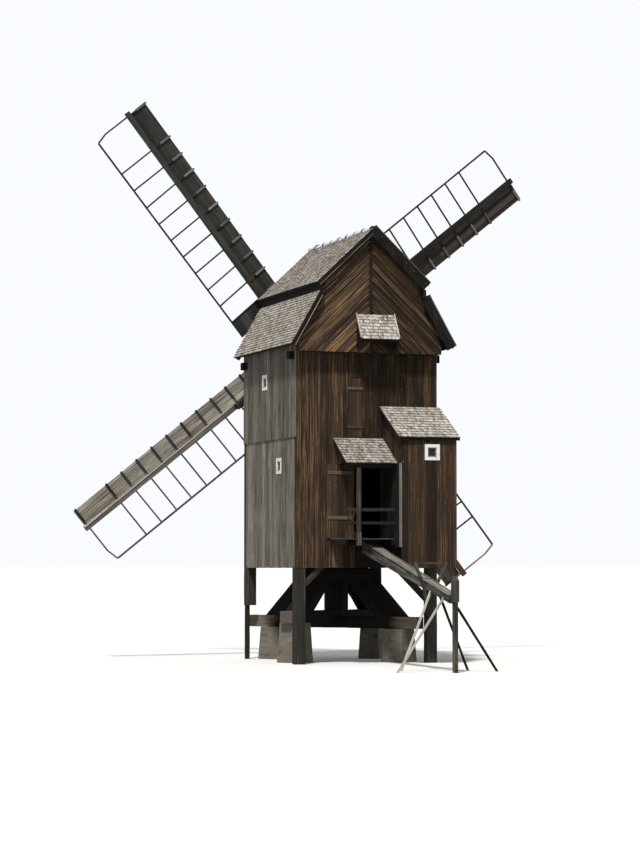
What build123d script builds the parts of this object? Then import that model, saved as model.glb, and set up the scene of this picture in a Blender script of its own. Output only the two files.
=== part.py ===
"""Wooden post mill: a boarded body on a trestle, with four sails, a gallery, a lean-to and a tail pole.

Millimetres, +Z up. The sails are in front, towards -Y. The door, gallery and tail pole are behind, at +Y.
Distances below are measured from the main post's axis on the ground. The finished pieces are moved so that
the origin lies on the ground under the rear wall's outer face, which is the middle of the mill's length.
"""
import os
from math import atan2, cos, hypot, radians, sin, tan

from build123d import *

os.makedirs("parts", exist_ok=True)

# Body
body_width = 4700
front_face = -2450
rear_face = 2860
skirt_height = 3000
wall = 140
ledge_height = 7100
ledge_step = 30
floor_height = 3910
floor_thickness = 60
stone_floor_height = 7060
side_half = body_width / 2
side_inner = side_half - wall
front_inner = front_face + wall
rear_inner = rear_face - wall
floor_bottom = floor_height - floor_thickness
stone_floor_bottom = stone_floor_height - floor_thickness
touch = 0.3

# Roof, in cross-section: two steep lower slopes and two flatter upper slopes that overhang them
ridge_height = 13633
hip_half = 1850
hip_height = 11885
knee_half = 1742
knee_height = 11620
eave_half = 2695
eave_height = 9945
roof_thickness = 90
rear_overhang = 577
barge_thickness = 35
barge_depth = 200
knee_board = 45
cap_radius = 125
cap_thickness = 22
cap_sink = 55
upper_angle = atan2(ridge_height - hip_height, hip_half)
lower_angle = atan2(knee_height - eave_height, eave_half - knee_half)
roof_rear = rear_face + rear_overhang

# Gables
gable_bottom = 9730
gable_flare = 40
gable_half = side_half + gable_flare
gable_overhang = 350
gable_thickness = 60
gable_rear = rear_face + gable_overhang

# Doorway and door leaf
door_left = 420
door_right = -500
door_height = 2320
leaf_thickness = 45
leaf_clearance = 6
hinge_standoff = 18
hinge_inset = 20
pin_radius = 8
knuckle_radius = 14
knuckle_height = 60
strap_thickness = 6
strap_width = 50
strap_length = 700
pin_clearance = 0.3
lower_strap = 640
upper_strap = 2055
door_top = floor_height + door_height

# Upper plank door in the rear wall
hatch_left = 600
hatch_right = 190
hatch_sill = 36
hatch_headroom = 774
hatch_bottom = stone_floor_height + hatch_sill
hatch_top = gable_bottom - hatch_headroom
hatch_thickness = 40

# Windows
window_size = 290
casing_width = 105
casing_thickness = 35
pane_thickness = 6
upper_window_y = -208
upper_window_rise = 1860
upper_window_height = ledge_height + upper_window_rise
lower_window_y = 1137
lower_window_drop = 882
lower_window_height = ledge_height - lower_window_drop
lean_window_x = -1549
lean_window_height = 6573

# Rotor
rotor_tilt = 5.0
hub_y = -3200
hub_height = 10330
sail_angle = 50.6
stock_spacing = 400
stock_size = 300
stock_end = 200
stock_half = 3100
head_size = 600
head_half = 480
head_chamfer = 50
whip_start = 700
front_whip_tip = 9900
rear_whip_tip = 9600
whip_root_width = 210
whip_tip_width = 180
whip_root_depth = 170
whip_tip_depth = 110
hem_reach = 1425
hem_start = 1650
front_hem_end = 9680
rear_hem_end = 9360
heel_bar = 2270
front_last_bar = 8415
rear_last_bar = 8125
bar_count = 10
bar_width = 50
board_bar_width = 70
board_bar_start = 200
bar_depth = 50
bar_seat = 70
tip_bar_out = 100
tip_bend = 400
hem_width = 60
board_reach = 740
narrow_board_reach = 690
front_board_end = 9780
rear_board_end = 9540
bar_overrun = 40
board_thickness = 22
board_seat = 2
board_margin = 20
weather_heel = 13.0
weather_tip = 6.0
weather_reach = 9500
neck_radius = 230
tail_radius = 70
shaft_radius = 260
shaft_play = 60
neck_y = -2130
neck_length = 320
tail_y = 2125
tail_length = 200
bearing_gap = 0.3
neck_seat = 120
journal_play = 40
tail_beam_depth = 300

# Trestle
trestle_turn = 35.0
crosstree_bottom = 1060
crosstree_size = 380
crosstree_step = 190
long_crosstree_front = 3400
long_crosstree_rear = 3250
short_crosstree_half = 2800
post_flats = 740
crown_tree_depth = 500
post_top = stone_floor_bottom - crown_tree_depth
quarterbar_apex = 4150
quarterbar_size = 380
quarterbar_gap = 15
under_brace_size = 350
saddle_corner = 1700
saddle_width = 220
saddle_bottom = 2560
saddle_top = 2960
pier_size = 700
pier_foot = 820
crown_width = 600

# Props under the corners of the body
prop_size = 330
prop_x = 2200
prop_rear_y = 2700
prop_front_y = -2250
splice_height = 1760
splice_width = 130
splice_depth = 160
knee_size = 180
left_knee = 650
right_knee = 1100

# Beams of the body
sheer_x = 900
sheer_width = 250
sheer_depth = 360
tie_size = 240
tie_bottom = 9510
tie_end = 180

# Gallery and its canopy
gallery_left = 1230
gallery_depth = 1100
gallery_board = 40
joist_width = 120
joist_depth = 160
canopy_left = 1140
canopy_gap = 46
canopy_wall_height = hatch_bottom - canopy_gap
canopy_edge_height = 6235
canopy_depth = 1250
canopy_thickness = 70
canopy_post_x = 700
canopy_post_width = 130
canopy_post_depth = 110
canopy_post_bottom = 3670
header_depth = 120
rail_height = 4836
mid_rail_height = 4425
rail_left = 1100
rail_width = 45
rail_depth = 95
brace_depth = 35
cleat_top = 4083
cleat_bottom = 3687
cleat_width = 120
cleat_thickness = 40

# Lean-to
lean_left = -545
lean_depth = 1630
lean_wall = 60
lean_wall_height = 8066
lean_edge_height = 7035
lean_eave = 100
lean_verge = 130
lean_thickness = 80
lean_side_bottom = 3640

# Hood of the sack hoist
hoist_left = 480
hoist_right = -780
hoist_top = 10940
hoist_edge = 10140
hoist_depth = 480
hoist_thickness = 50
hoist_cheek = 45
hoist_bottom = 9850

# Tail pole
pole_start = 2600
pole_end = 9945
pole_start_depth = 345
pole_end_depth = 200
cover_start_width = 375
cover_end_width = 310
cover_overhang = 20
cover_thickness = 45
pole_top_height = 3695
pole_top_y = 3450
tail_pole_tilt = 12.76
tail_post_length = 270
tail_post_width = 160
tail_post_top = 2762
tail_post_bottom = 2020
tail_post_leg = 80
tail_post_chamfer = 40
yoke_y = 8130
yoke_left = 490
yoke_right = -560
yoke_height = 3130
yoke_bar = 60
yoke_arm = 90
yoke_arm_inset = 25
yoke_middle = 2440
yoke_foot = 1990
yoke_foot_x = 100
leg_size = 65
rear_leg_y = 9500
rear_leg_spread = 1550
front_leg_y = 8500
front_leg_spread = 1050
below_ground = 500
pole_angle = radians(tail_pole_tilt)


def save(piece, name):
    """Move a finished piece to the mill's own origin, name it and write it."""
    finished = piece.part.moved(Location((0, -rear_face, 0)))
    finished.label = name
    export_step(finished, f"parts/{name}.step")


def block(x_range, y_range, z_range, mode=Mode.ADD):
    """Add a straight-sided block between three pairs of limits."""
    with BuildSketch(Plane.XY.offset(z_range[0])) as outline:
        with Locations(((x_range[0] + x_range[1]) / 2, (y_range[0] + y_range[1]) / 2)):
            Rectangle(abs(x_range[1] - x_range[0]), abs(y_range[1] - y_range[0]))
    extrude(outline.sketch, amount=z_range[1] - z_range[0], mode=mode)


def timber(start, end, width, depth, side, mode=Mode.ADD):
    """Add a straight timber between two points. Its width lies along side."""
    run = Vector(*end) - Vector(*start)
    with BuildSketch(Plane(origin=start, x_dir=side, z_dir=run)) as section:
        Rectangle(width, depth)
    extrude(section.sketch, amount=run.length, mode=mode)


def plate(points, plane, amount, mode=Mode.ADD):
    """Add a flat plate from an outline on a plane."""
    with BuildSketch(plane) as outline:
        with BuildLine():
            Polyline(*points, close=True)
        make_face()
    extrude(outline.sketch, amount=amount, mode=mode)


def section_plane(y):
    """Plane across the body at a distance y: its first axis is X, its second is up, and it looks along +Y."""
    return Plane(origin=(0, y, 0), x_dir=(-1, 0, 0), z_dir=(0, 1, 0))


def side_plane(x):
    """Plane along the body at a distance x: its first axis is Y, its second is up, and it looks along +X."""
    return Plane(origin=(x, 0, 0), x_dir=(0, 1, 0), z_dir=(1, 0, 0))


def upper_slope(x, depth):
    """Height of the upper slope at a distance x from the ridge, a given depth below its top face."""
    return ridge_height - x * tan(upper_angle) - depth / cos(upper_angle)


def lower_slope(x, depth):
    """Height of the lower slope at a distance x from the ridge, a given depth below its top face."""
    return eave_height + (eave_half - x) * tan(lower_angle) - depth / cos(lower_angle)


def upper_outline(depth, side):
    """Cross-section of an upper slope, a given depth thick, on the side +1 or -1."""
    inner_x = hip_half - depth * sin(upper_angle)
    inner_z = hip_height - depth * cos(upper_angle)
    outline = [(0, ridge_height), (hip_half, hip_height), (inner_x, inner_z), (0, upper_slope(0, depth))]
    return [(-side * x, z) for x, z in outline]


def lower_outline(depth, side, top_depth):
    """Cross-section of a lower slope with the upright board that closes it under the upper slope."""
    inner_board = knee_half - knee_board
    outline = [
        (eave_half, eave_height),
        (knee_half, knee_height),
        (knee_half, upper_slope(knee_half, top_depth)),
        (inner_board, upper_slope(inner_board, top_depth)),
        (inner_board, lower_slope(inner_board, depth)),
        (eave_half - depth * sin(lower_angle), eave_height - depth * cos(lower_angle)),
    ]
    return [(-side * x, z) for x, z in outline]


def gable_outline(bottom, half):
    """Outline of a gable that fills the roof from below."""
    inner_board = knee_half - knee_board
    right = [
        (half, bottom),
        (half, lower_slope(half, roof_thickness)),
        (inner_board, lower_slope(inner_board, roof_thickness)),
        (inner_board, upper_slope(inner_board, roof_thickness)),
        (0, upper_slope(0, roof_thickness)),
    ]
    left = [(-x, z) for x, z in reversed(right[:-1])]
    return right + left


# Trestle: two crosstrees at right angles, halved where they cross
long_axis = radians(trestle_turn - 90)
short_axis = radians(trestle_turn)
lap_height = crosstree_bottom + crosstree_step + (crosstree_size - crosstree_step) / 2
long_top = crosstree_bottom + crosstree_size
short_top = long_top + crosstree_step


def crosstree(angle, back, ahead, bottom, lap_from, lap_to):
    """Add a crosstree that reaches back and ahead from the post, and cut the halving at its middle."""
    middle = bottom + crosstree_size / 2
    start = (-cos(angle) * back, -sin(angle) * back, middle)
    end = (cos(angle) * ahead, sin(angle) * ahead, middle)
    timber(start, end, crosstree_size, crosstree_size, (-sin(angle), cos(angle), 0))
    lap = crosstree_size / 2
    lap_start = (-cos(angle) * lap, -sin(angle) * lap, (lap_from + lap_to) / 2)
    lap_end = (cos(angle) * lap, sin(angle) * lap, (lap_from + lap_to) / 2)
    side = (-sin(angle), cos(angle), 0)
    timber(lap_start, lap_end, crosstree_size, abs(lap_to - lap_from), side, mode=Mode.SUBTRACT)


with BuildPart() as crosstree_long:
    crosstree(long_axis, long_crosstree_rear, long_crosstree_front, crosstree_bottom, lap_height, long_top)
save(crosstree_long, "crosstree_long")

with BuildPart() as crosstree_short:
    crosstree(
        short_axis,
        short_crosstree_half,
        short_crosstree_half,
        crosstree_bottom + crosstree_step,
        crosstree_bottom + crosstree_step,
        lap_height,
    )
save(crosstree_short, "crosstree_short")

# Masonry piers, a little wider at the foot, under the four ends
with BuildPart() as piers:
    for angle, top in ((long_axis, crosstree_bottom), (short_axis, crosstree_bottom + crosstree_step)):
        for way in (-1, 1):
            brace_middle = quarterbar_size / cos(radians(45)) / 2
            reach = way * (quarterbar_apex - top - crosstree_size - brace_middle)
            along = (cos(angle), sin(angle), 0)
            foot = Plane(origin=(cos(angle) * reach, sin(angle) * reach, 0), x_dir=along)
            with BuildSketch(foot):
                Rectangle(pier_foot, pier_foot)
            with BuildSketch(foot.offset(top)):
                Rectangle(pier_size, pier_size)
            loft()
save(piers, "piers")

# Main post: eight-sided, standing on the upper crosstree
with BuildPart() as main_post:
    with BuildSketch(Plane.XY.offset(short_top)):
        RegularPolygon(post_flats / 2, 8, major_radius=False, rotation=trestle_turn + 22.5)
    extrude(amount=post_top - short_top)
save(main_post, "main_post")

# Saddle: a square frame round the post, its corners over the quarterbars
with BuildPart() as saddle:
    with BuildSketch(Plane.XY.offset(saddle_bottom)):
        RegularPolygon(saddle_corner, 4, rotation=trestle_turn)
        inner_corner = saddle_corner - saddle_width / sin(radians(45))
        RegularPolygon(inner_corner, 4, rotation=trestle_turn, mode=Mode.SUBTRACT)
    extrude(amount=saddle_top - saddle_bottom)
save(saddle, "saddle")


def brace_ring(outer, size):
    """Add four 45-degree braces from crosstrees to post. Outer is the top edge's reach plus its height."""
    post_face = post_flats / 2
    inner = outer - size / cos(radians(45))
    for angle, foot in (
        (long_axis, long_top),
        (long_axis + radians(180), long_top),
        (short_axis, short_top),
        (short_axis + radians(180), short_top),
    ):
        side = (-sin(angle), cos(angle), 0)
        plane = Plane(origin=(0, 0, 0), x_dir=(cos(angle), sin(angle), 0), z_dir=(sin(angle), -cos(angle), 0))
        points = [
            (outer - foot, foot),
            (inner - foot, foot),
            (post_face, inner - post_face),
            (post_face, outer - post_face),
        ]
        plate(points, plane.offset(-crosstree_size / 2), crosstree_size)


under_outer = quarterbar_apex - (quarterbar_size + quarterbar_gap) / cos(radians(45))

with BuildPart() as quarterbars:
    brace_ring(quarterbar_apex, quarterbar_size)
    add(saddle.part, mode=Mode.SUBTRACT)
    brace_ring(under_outer, under_brace_size)
save(quarterbars, "quarterbars")

# Crown tree: the beam on top of the post that carries the body
with BuildPart() as crown_tree:
    block((-side_inner, side_inner), (-crown_width / 2, crown_width / 2), (post_top, stone_floor_bottom))
save(crown_tree, "crown_tree")

# Props that hold the four corners. The rear ones have a knee brace, the front left one a thin spliced foot.
prop_face = prop_x - prop_size / 2
prop_outer = prop_x + prop_size / 2
prop_half = prop_size / 2
knee_width = knee_size / cos(radians(45))
with BuildPart() as corner_props:
    for side, knee, foot in ((1, left_knee, splice_height), (-1, right_knee, 0)):
        limits = (side * prop_face, side * prop_outer)
        block(limits, (prop_front_y - prop_half, prop_front_y + prop_half), (foot, skirt_height))
        block(limits, (prop_rear_y - prop_half, prop_rear_y + prop_half), (0, skirt_height))
        points = [
            (-side * prop_face, skirt_height - knee),
            (-side * prop_face, skirt_height - knee + knee_width),
            (-side * (prop_face - knee + knee_width), skirt_height),
            (-side * (prop_face - knee), skirt_height),
        ]
        plate(points, section_plane(prop_rear_y - knee_size / 2), knee_size)
    block(
        (prop_outer - splice_width, prop_outer),
        (prop_front_y - splice_depth / 2, prop_front_y + splice_depth / 2),
        (0, splice_height),
    )
save(corner_props, "corner_props")

# Sheers: the two long beams beside the post, under the floor
with BuildPart() as sheers:
    for x in (-sheer_x, sheer_x):
        block(
            (x - sheer_width / 2, x + sheer_width / 2),
            (front_inner, rear_inner),
            (floor_bottom - sheer_depth, floor_bottom),
        )
save(sheers, "sheers")

with BuildPart() as meal_floor:
    block((-side_inner, side_inner), (front_inner, rear_inner), (floor_bottom, floor_height))
    with BuildSketch(Plane.XY.offset(floor_bottom)):
        RegularPolygon(post_flats / 2 + touch, 8, major_radius=False, rotation=trestle_turn + 22.5)
    extrude(amount=floor_thickness, mode=Mode.SUBTRACT)
save(meal_floor, "meal_floor")

with BuildPart() as stone_floor:
    block((-side_inner, side_inner), (front_inner, rear_inner), (stone_floor_bottom, stone_floor_height))
save(stone_floor, "stone_floor")

# Tie beams right across the body, with their ends showing under the eaves
tie_rear_y = rear_inner - tie_size / 2
tie_front_y = front_inner + tie_size / 2
with BuildPart() as tie_beams:
    for y in (tie_rear_y, tie_front_y):
        block(
            (-side_half - tie_end, side_half + tie_end),
            (y - tie_size / 2, y + tie_size / 2),
            (tie_bottom, tie_bottom + tie_size),
        )
save(tie_beams, "tie_beams")


# Side walls, the upper boarding standing a little proud of the lower
def window_cut(side, y, height):
    """Cut a window hole through a side wall."""
    limits = (side * (side_half + wall), side * (side_inner - wall))
    half = window_size / 2
    block(limits, (y - half, y + half), (height - half, height + half), mode=Mode.SUBTRACT)


for side, word in ((1, "left"), (-1, "right")):
    with BuildPart() as side_wall:
        points = [
            (-side * side_inner, skirt_height),
            (-side * (side_half - ledge_step), skirt_height),
            (-side * (side_half - ledge_step), ledge_height),
            (-side * side_half, ledge_height),
            (-side * side_half, lower_slope(side_half, roof_thickness)),
            (-side * side_inner, lower_slope(side_inner, roof_thickness)),
        ]
        plate(points, section_plane(front_inner), rear_inner - front_inner)
        # Cheek that closes the side of the gable overhang
        cheek = [
            (-side * side_inner, gable_bottom),
            (-side * side_half, gable_bottom),
            (-side * side_half, lower_slope(side_half, roof_thickness)),
            (-side * side_inner, lower_slope(side_inner, roof_thickness)),
        ]
        plate(cheek, section_plane(rear_inner), gable_rear - gable_thickness - rear_inner)
        window_cut(side, lower_window_y, lower_window_height)
        window_cut(side, upper_window_y, upper_window_height)
        for y in (tie_rear_y, tie_front_y):
            block(
                (side * side_inner, side * side_half),
                (y - tie_size / 2, y + tie_size / 2),
                (tie_bottom, tie_bottom + tie_size),
                mode=Mode.SUBTRACT,
            )
    save(side_wall, f"side_wall_{word}")

# Breast wall and the gable above it, with a hole for the windshaft
tilt = radians(rotor_tilt)
rotor_plane = Plane(origin=(0, hub_y, hub_height), x_dir=(1, 0, 0), z_dir=(0, -cos(tilt), sin(tilt)))


def axis_height(y):
    """Height of the windshaft's axis at a distance y."""
    return hub_height - (y - hub_y) * tan(tilt)


with BuildPart() as front_wall:
    block((-side_half, side_half), (front_face, front_inner), (skirt_height, gable_bottom))
save(front_wall, "front_wall")

with BuildPart() as front_gable:
    plate(gable_outline(gable_bottom, side_half), section_plane(front_face), gable_thickness)
    with BuildSketch(rotor_plane):
        Circle(shaft_radius + shaft_play)
    extrude(amount=-(front_face - hub_y) - 2 * gable_thickness, mode=Mode.SUBTRACT)
save(front_gable, "front_gable")

# Rear wall, in pieces round the doorway
hinge_x = door_left + hinge_inset - leaf_clearance
lean_inner = lean_left - lean_wall

with BuildPart() as rear_wall_lower:
    block((door_left, side_half), (rear_inner, rear_face), (skirt_height, door_top))
    block((lean_inner, door_right), (rear_inner, rear_face), (floor_bottom, door_top))
    block((-side_half, -side_half + lean_wall), (rear_inner, rear_face), (floor_bottom, door_top))
save(rear_wall_lower, "rear_wall_lower")


def pole_share(y, start, end):
    """Size that changes evenly along the tail pole, at a distance y."""
    return start + (end - start) * (y - pole_start) / (pole_end - pole_start)


def cover_top(y):
    """Height of the top of the tail pole's cover board at a distance y."""
    return pole_top_height - (y - pole_top_y) * tan(pole_angle)


def pole_top(y):
    """Height of the tail pole's own top at a distance y."""
    return cover_top(y) - cover_thickness / cos(pole_angle)


def pole_bottom(y):
    """Height of the tail pole's underside at a distance y."""
    return pole_top(y) - pole_share(y, pole_start_depth, pole_end_depth)


def cover_width(y):
    """Width of the cover board at a distance y."""
    return pole_share(y, cover_start_width, cover_end_width)


def pole_width(y):
    """Width of the tail pole at a distance y."""
    return cover_width(y) - 2 * cover_overhang


def beam_along_pole(start_y, end_y, width, bottom, top, mode=Mode.ADD):
    """Add a tapering stretch with upright ends. Width, bottom and top give its size at a distance y."""
    sections = []
    for y in (start_y, end_y):
        with BuildSketch(section_plane(y)) as section:
            with Locations((0, (bottom(y) + top(y)) / 2)):
                Rectangle(width(y), top(y) - bottom(y))
        sections.append(section.sketch)
    loft(sections, mode=mode)


with BuildPart() as rear_sill:
    block((-side_half, door_left), (rear_inner, rear_face), (skirt_height, floor_bottom))
    beam_along_pole(pole_start, pole_end, pole_width, pole_bottom, pole_top, mode=Mode.SUBTRACT)
save(rear_sill, "rear_sill")

with BuildPart() as rear_wall_upper:
    block((-side_half, side_half), (rear_inner, rear_face), (door_top, gable_bottom))
    block((hatch_right, hatch_left), (rear_inner, rear_face), (hatch_bottom, hatch_top), mode=Mode.SUBTRACT)
save(rear_wall_upper, "rear_wall_upper")

with BuildPart() as upper_door:
    block((hatch_right, hatch_left), (rear_face - hatch_thickness, rear_face), (hatch_bottom, hatch_top))
save(upper_door, "upper_door")

# Rear gable and the soffit under it
with BuildPart() as rear_gable:
    gable = gable_outline(gable_bottom, gable_half)
    plate(gable, section_plane(gable_rear - gable_thickness), gable_thickness)
save(rear_gable, "rear_gable")

with BuildPart() as gable_soffit:
    block(
        (-side_inner, side_inner),
        (rear_inner, gable_rear - gable_thickness),
        (gable_bottom, gable_bottom + gable_thickness),
    )
save(gable_soffit, "gable_soffit")

# Roof slopes between the barge boards
slab_front = front_face
slab_rear = roof_rear - barge_thickness
for side, word in ((1, "left"), (-1, "right")):
    with BuildPart() as roof_upper:
        plate(upper_outline(roof_thickness, side), section_plane(slab_front), slab_rear - slab_front)
    save(roof_upper, f"roof_upper_{word}")

    with BuildPart() as roof_lower:
        outline = lower_outline(roof_thickness, side, roof_thickness)
        plate(outline, section_plane(slab_front), slab_rear - slab_front)
    save(roof_lower, f"roof_lower_{word}")

with BuildPart() as barge_boards:
    for y in (front_face - barge_thickness, slab_rear):
        for side in (1, -1):
            plate(upper_outline(barge_depth, side), section_plane(y), barge_thickness)
            plate(lower_outline(barge_depth, side, roof_thickness), section_plane(y), barge_thickness)
save(barge_boards, "barge_boards")

# Ridge cap: a half-round shell resting on the two upper slopes
cap_middle = ridge_height - cap_sink
with BuildPart() as ridge_cap:
    with BuildSketch(section_plane(front_face - barge_thickness)) as outline:
        with Locations((0, cap_middle)):
            Circle(cap_radius)
            Circle(cap_radius - cap_thickness, mode=Mode.SUBTRACT)
        with BuildLine():
            Polyline(
                (0, ridge_height),
                (hip_half, hip_height),
                (-hip_half, hip_height),
                close=True,
            )
        make_face(mode=Mode.SUBTRACT)
    extrude(outline.sketch, amount=roof_rear - front_face + barge_thickness)
save(ridge_cap, "ridge_cap")

# Beams that carry the windshaft, each with its bearing block
neck_beam_depth = axis_height(neck_y) - neck_radius - neck_seat - tie_bottom - tie_size
with BuildPart() as shaft_beams:
    for y, radius, length, depth in (
        (neck_y, neck_radius, neck_length, neck_beam_depth),
        (tail_y, tail_radius, tail_length, tail_beam_depth),
    ):
        beam_top = axis_height(y) - radius - neck_seat
        half = length / 2 - journal_play
        block((-side_inner, side_inner), (y - half, y + half), (beam_top - depth, beam_top))
        block(
            (-radius - neck_seat, radius + neck_seat),
            (y - half, y + half),
            (beam_top, axis_height(y)),
        )
        with BuildSketch(rotor_plane.offset(-(y - hub_y) / cos(tilt) - length)) as bore:
            Circle(radius + bearing_gap)
        extrude(bore.sketch, amount=2 * length, mode=Mode.SUBTRACT)
save(shaft_beams, "shaft_beams")

# Windshaft, turned about the rotor's axis, with a square head that the stocks pass through
neck_back = (neck_y - hub_y) / cos(tilt)
tail_back = (tail_y - hub_y) / cos(tilt)
with BuildPart() as windshaft:
    with BuildSketch(rotor_plane.offset(-head_half)):
        Rectangle(head_size, head_size, rotation=sail_angle)
    extrude(amount=2 * head_half)
    chamfer(windshaft.edges().filter_by(Axis(rotor_plane.origin, rotor_plane.z_dir)), length=head_chamfer)
    for turn, offset in ((0, stock_spacing / 2), (90, -stock_spacing / 2)):
        angle = radians(sail_angle + turn)
        along = rotor_plane.x_dir * cos(angle) + rotor_plane.y_dir * sin(angle)
        middle = rotor_plane.origin + rotor_plane.z_dir * offset
        start = middle - along * head_size
        end = middle + along * head_size
        timber(tuple(start), tuple(end), stock_size, stock_size, tuple(rotor_plane.z_dir), mode=Mode.SUBTRACT)
    steps = [
        (head_half, neck_back - neck_length / 2, shaft_radius),
        (neck_back - neck_length / 2, neck_back + neck_length / 2, neck_radius),
        (neck_back + neck_length / 2, tail_back - tail_length / 2, shaft_radius),
        (tail_back - tail_length / 2, tail_back + tail_length / 2, tail_radius),
    ]
    for start, end, radius in steps:
        with BuildSketch(rotor_plane.offset(-end)):
            Circle(radius)
        extrude(amount=end - start)
save(windshaft, "windshaft")

# Stocks: the two beams through the head. X runs out along the sail, Z towards the wind.
with BuildPart() as stock:
    points = [
        (-stock_half, -stock_end / 2),
        (-head_size, -stock_size / 2),
        (head_size, -stock_size / 2),
        (stock_half, -stock_end / 2),
        (stock_half, stock_end / 2),
        (head_size, stock_size / 2),
        (-head_size, stock_size / 2),
        (-stock_half, stock_end / 2),
    ]
    plate(points, Plane.XY.offset(-stock_size / 2), stock_size)

whip_back = stock_size / 2


def weather(reach):
    """Rise of the sail's surface for each unit away from the whip, at a distance out along the sail."""
    heel = tan(radians(weather_heel))
    tip = tan(radians(weather_tip))
    return heel + (tip - heel) * (reach - hem_start) / (weather_reach - hem_start)


def sail_point(reach, across, lift=0):
    """Point on the sail's twisted surface."""
    return (reach, across, whip_back + bar_seat + across * weather(reach) + lift)


def bar(reach, start, end):
    """Add a straight bar through the whip. It is wider where it carries the boards."""
    timber(sail_point(reach, start), sail_point(reach, end), bar_width, bar_depth, (1, 0, 0))
    timber(sail_point(reach, board_bar_start), sail_point(reach, end), board_bar_width, bar_depth, (1, 0, 0))


def lattice(last_bar, hem_end, board_edge):
    """Bars of one sail, fused with the hem at their outer ends. The bar at the tip is bent near the hem."""
    tip_bar = hem_end + tip_bar_out
    corner = sail_point(hem_end, -hem_reach)
    bend = sail_point(tip_bar, tip_bend - hem_reach)
    pitch = (last_bar - heel_bar) / (bar_count - 1)
    with BuildPart() as frame:
        timber(sail_point(hem_start, -hem_reach), corner, bar_depth, hem_width, (0, 0, 1))
        timber(corner, bend, bar_width, bar_depth, (1, 0, 0))
        bar(tip_bar, tip_bend - hem_reach, board_edge)
        for step in range(bar_count):
            bar(heel_bar + pitch * step, -hem_reach, board_edge)
    return frame.part


def twisted_board(start_reach, end_reach, near, far, lift):
    """Board that follows the sail's twist between two distances across it."""
    with BuildPart() as board:
        for reach in (start_reach, end_reach):
            across = Vector(0, 1, weather(reach)).normalized()
            middle = sail_point(reach, (near + far) / 2, lift)
            with BuildSketch(Plane(origin=middle, x_dir=tuple(across), z_dir=(1, 0, 0))):
                Rectangle(abs(far - near), board_thickness)
        loft(ruled=True)
    return board.part


def whip_beam(tip, bars):
    """Whip that tapers to its tip, notched for the bars."""
    root_side = whip_root_width / 2
    tip_side = whip_tip_width / 2
    with BuildPart() as beam:
        with BuildSketch(Plane.XY):
            Polygon(
                (whip_start, -root_side),
                (tip, -tip_side),
                (tip, tip_side),
                (whip_start, root_side),
                align=None,
            )
        extrude(amount=whip_back + whip_root_depth)
        with BuildSketch(Plane.XZ):
            Polygon(
                (whip_start, whip_back),
                (tip, whip_back),
                (tip, whip_back + whip_tip_depth),
                (whip_start, whip_back + whip_root_depth),
                align=None,
            )
        extrude(amount=whip_root_width, both=True, mode=Mode.INTERSECT)
        add(bars, mode=Mode.SUBTRACT)
    return beam.part


# Four sails. The pair on the front stock reaches further, and the lower left sail has narrower boards.
board_lift = bar_depth / 2 + board_thickness / 2 + board_seat
board_near = whip_root_width / 2 + board_margin / 2
panel_near = -whip_root_width
lattices = []
whip_beams = []
board_sets = []
for index in range(4):
    on_front = index % 2 == 0
    reach_across = narrow_board_reach if index == 3 else board_reach
    last_bar = front_last_bar if on_front else rear_last_bar
    hem_end = front_hem_end if on_front else rear_hem_end
    board_end = front_board_end if on_front else rear_board_end
    tip = front_whip_tip if on_front else rear_whip_tip
    bars = lattice(last_bar, hem_end, reach_across + bar_overrun)
    lattices.append(bars)
    whip_beams.append(whip_beam(tip, bars))
    # Boards beside the whip, and the dark boards that close the bay between the heel bar and the hub
    boards = twisted_board(hem_start, board_end, board_near, reach_across - board_margin / 2, board_lift)
    panel = twisted_board(hem_start, heel_bar - bar_width / 2, hem_width / 2 - hem_reach, panel_near, 0)
    board_sets.append((boards, panel))


def sail_place(index):
    """Where sail number index goes. Sails 0 and 2 share the front stock, 1 and 3 the rear one."""
    angle = radians(sail_angle + 90 * index)
    along = rotor_plane.x_dir * cos(angle) + rotor_plane.y_dir * sin(angle)
    offset = stock_spacing / 2 if index % 2 == 0 else -stock_spacing / 2
    origin = rotor_plane.origin + rotor_plane.z_dir * offset
    return Location(Plane(origin=origin, x_dir=along, z_dir=rotor_plane.z_dir))


with BuildPart() as stocks:
    for index in range(2):
        add(stock.part.moved(sail_place(index)))
save(stocks, "stocks")

for index in range(4):
    with BuildPart() as sail_lattice:
        add(lattices[index].moved(sail_place(index)))
    save(sail_lattice, f"sail_lattice_{index + 1}")

with BuildPart() as whips:
    for index in range(4):
        add(whip_beams[index].moved(sail_place(index)))
save(whips, "whips")

with BuildPart() as sail_boards:
    for index in range(4):
        for board in board_sets[index]:
            add(board.moved(sail_place(index)))
save(sail_boards, "sail_boards")

# Door leaf, standing open against the wall, with strap hinges on two pintles
leaf_width = hinge_x - hinge_inset - door_right - leaf_clearance
leaf_near = hinge_x + hinge_inset
leaf_face = rear_face + 2 * hinge_standoff
hinge_y = rear_face + hinge_standoff
with BuildPart() as door_leaf:
    block(
        (leaf_near, leaf_near + leaf_width),
        (leaf_face, leaf_face + leaf_thickness),
        (floor_height + leaf_clearance, door_top - leaf_clearance),
    )
save(door_leaf, "door_leaf")

with BuildPart() as door_straps:
    for height in (lower_strap, upper_strap):
        middle = floor_height + height
        block(
            (hinge_x, leaf_near + strap_length),
            (leaf_face - strap_thickness, leaf_face),
            (middle - strap_width / 2, middle + strap_width / 2),
        )
        with BuildSketch(Plane.XY.offset(middle - knuckle_height / 2)):
            with Locations((hinge_x, hinge_y)):
                Circle(knuckle_radius)
        extrude(amount=knuckle_height)
        with BuildSketch(Plane.XY.offset(middle - knuckle_height)):
            with Locations((hinge_x, hinge_y)):
                Circle(pin_radius + pin_clearance)
        extrude(amount=2 * knuckle_height, mode=Mode.SUBTRACT)
save(door_straps, "door_straps")

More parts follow.
